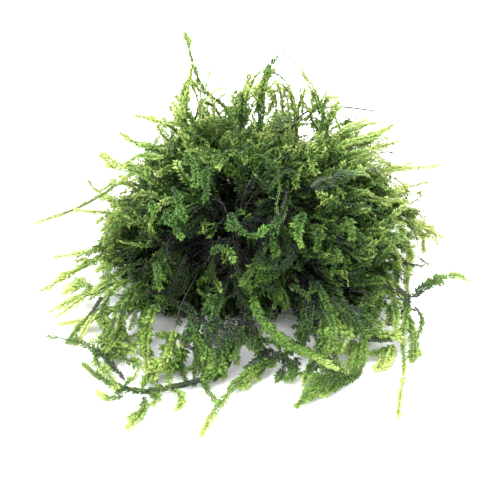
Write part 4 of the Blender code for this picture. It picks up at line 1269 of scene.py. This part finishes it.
def openPart(path, gaps):
    # the part of a path that comes before any of the gaps
    last = len(path)
    for start, stop, radius in gaps:
        way = np.array(stop, float) - start
        share = np.clip((path - start) @ way / (way @ way), 0, 1)
        inside = np.nonzero(np.linalg.norm(path - start - share[:, None] * way, axis=1) < radius)[0]
        if len(inside):
            last = min(last, inside[0])
    return path[:last]


def openPaths(sort, gaps):
    # each path that is long enough, with its middle and the chooser
    paths, chooser = matPaths(sort)
    for path in paths:
        path = openPart(path, gaps)
        if len(path) >= sort["fewestPoints"]:
            yield path, path[len(path) // 2], chooser


def leafiness(points):
    # how many of its leaves a shoot of the mat has, by how deep it lies
    first, full = mat["leafless"]
    return np.clip((depthOf(points)[0] - first) / (full - first), mat["innerLeaves"], 1)


def sideOf(point):
    x, y, z = point - np.array(mound["centre"])
    if z > mound["crownAbove"]:
        return "crown_left" if x < 0 else "crown_right"
    if abs(x) > abs(y) * mound["sideways"]:
        return "right" if x > 0 else "left"
    return ("back_" if y > 0 else "front_") + ("right" if x > 0 else "left")


matSides = (
    "crown_left", "crown_right", "front_left", "front_right", "left", "right", "back_left", "back_right",
)
mats = {side: Pile() for side in matSides}
for path, middle, chooser in openPaths(mat, hollows + clearings):
    ages = (mat["freshFrom"] + chooser.normal(0, mat["scatter"]), mat["freshTip"])
    facing = depthOf(middle[None])[1][0] + chooser.normal(0, mat["facingScatter"], 3)
    growShoot(mats[sideOf(middle)], path, facing, matHabit, ages, chooser, leafiness)

# Short shoots that fill the mat between the longer ones
undergrowth = {
    "shoots": 400,
    "seed": 8,
    "depths": (0.74, 0.95),
    "lengths": (4.5, 8),
    "lean": (-0.4, 0.5),
    "hug": 1,
    "fewestPoints": 4,
    "freshFrom": 0.1,
    "freshTip": 0.2,
    "scatter": 0.07,
}
for path, middle, chooser in openPaths(undergrowth, hollows + clearings):
    ages = (undergrowth["freshFrom"] + chooser.normal(0, undergrowth["scatter"]), undergrowth["freshTip"])
    growShoot(mats[sideOf(middle)], path, chooser.normal(size=3), matHabit, ages, chooser)
for side, pile in mats.items():
    addPiece("moss_mat_" + side, pile, plainLeaf, thinStem, ["moss_mat"])
    print("mat,", side, triangles["moss_mat_" + side], "triangles")

# The old stems inside the mat: dark and thick, with fewer leaves
oldTangle = {
    "shoots": 370,
    "seed": 9,
    "depths": (0.3, 0.8),
    "lengths": (12, 24),
    "lean": (-0.3, 0.3),
    "hug": 1.2,
    "fewestPoints": 5,
    "freshFrom": 0.08,
    "freshTip": 0.05,
    "scatter": 0.07,
}
oldHabit = dict(
    matHabit, leafStep=0.75, leafLength=1.35, missing=0.2, spread=55, onTop=0.1, budLeaves=0,
    stemRadius=0.26, stemDarker=0.05, segment=2.4, branchStep=0,
)
pile = Pile()
for path, _, chooser in openPaths(oldTangle, clearings):
    facing = chooser.normal(size=3)
    ages = (oldTangle["freshFrom"] + chooser.normal(0, oldTangle["scatter"]), oldTangle["freshTip"])
    growShoot(pile, path, facing, oldHabit, ages, chooser)
addPiece("moss_mat_old_stems", pile, plainLeaf, thinStem, ["moss_mat"])
print("old stems,", triangles["moss_mat_old_stems"], "triangles")
print("all:", sum(triangles.values()), "triangles, the largest piece", max(triangles.values()))
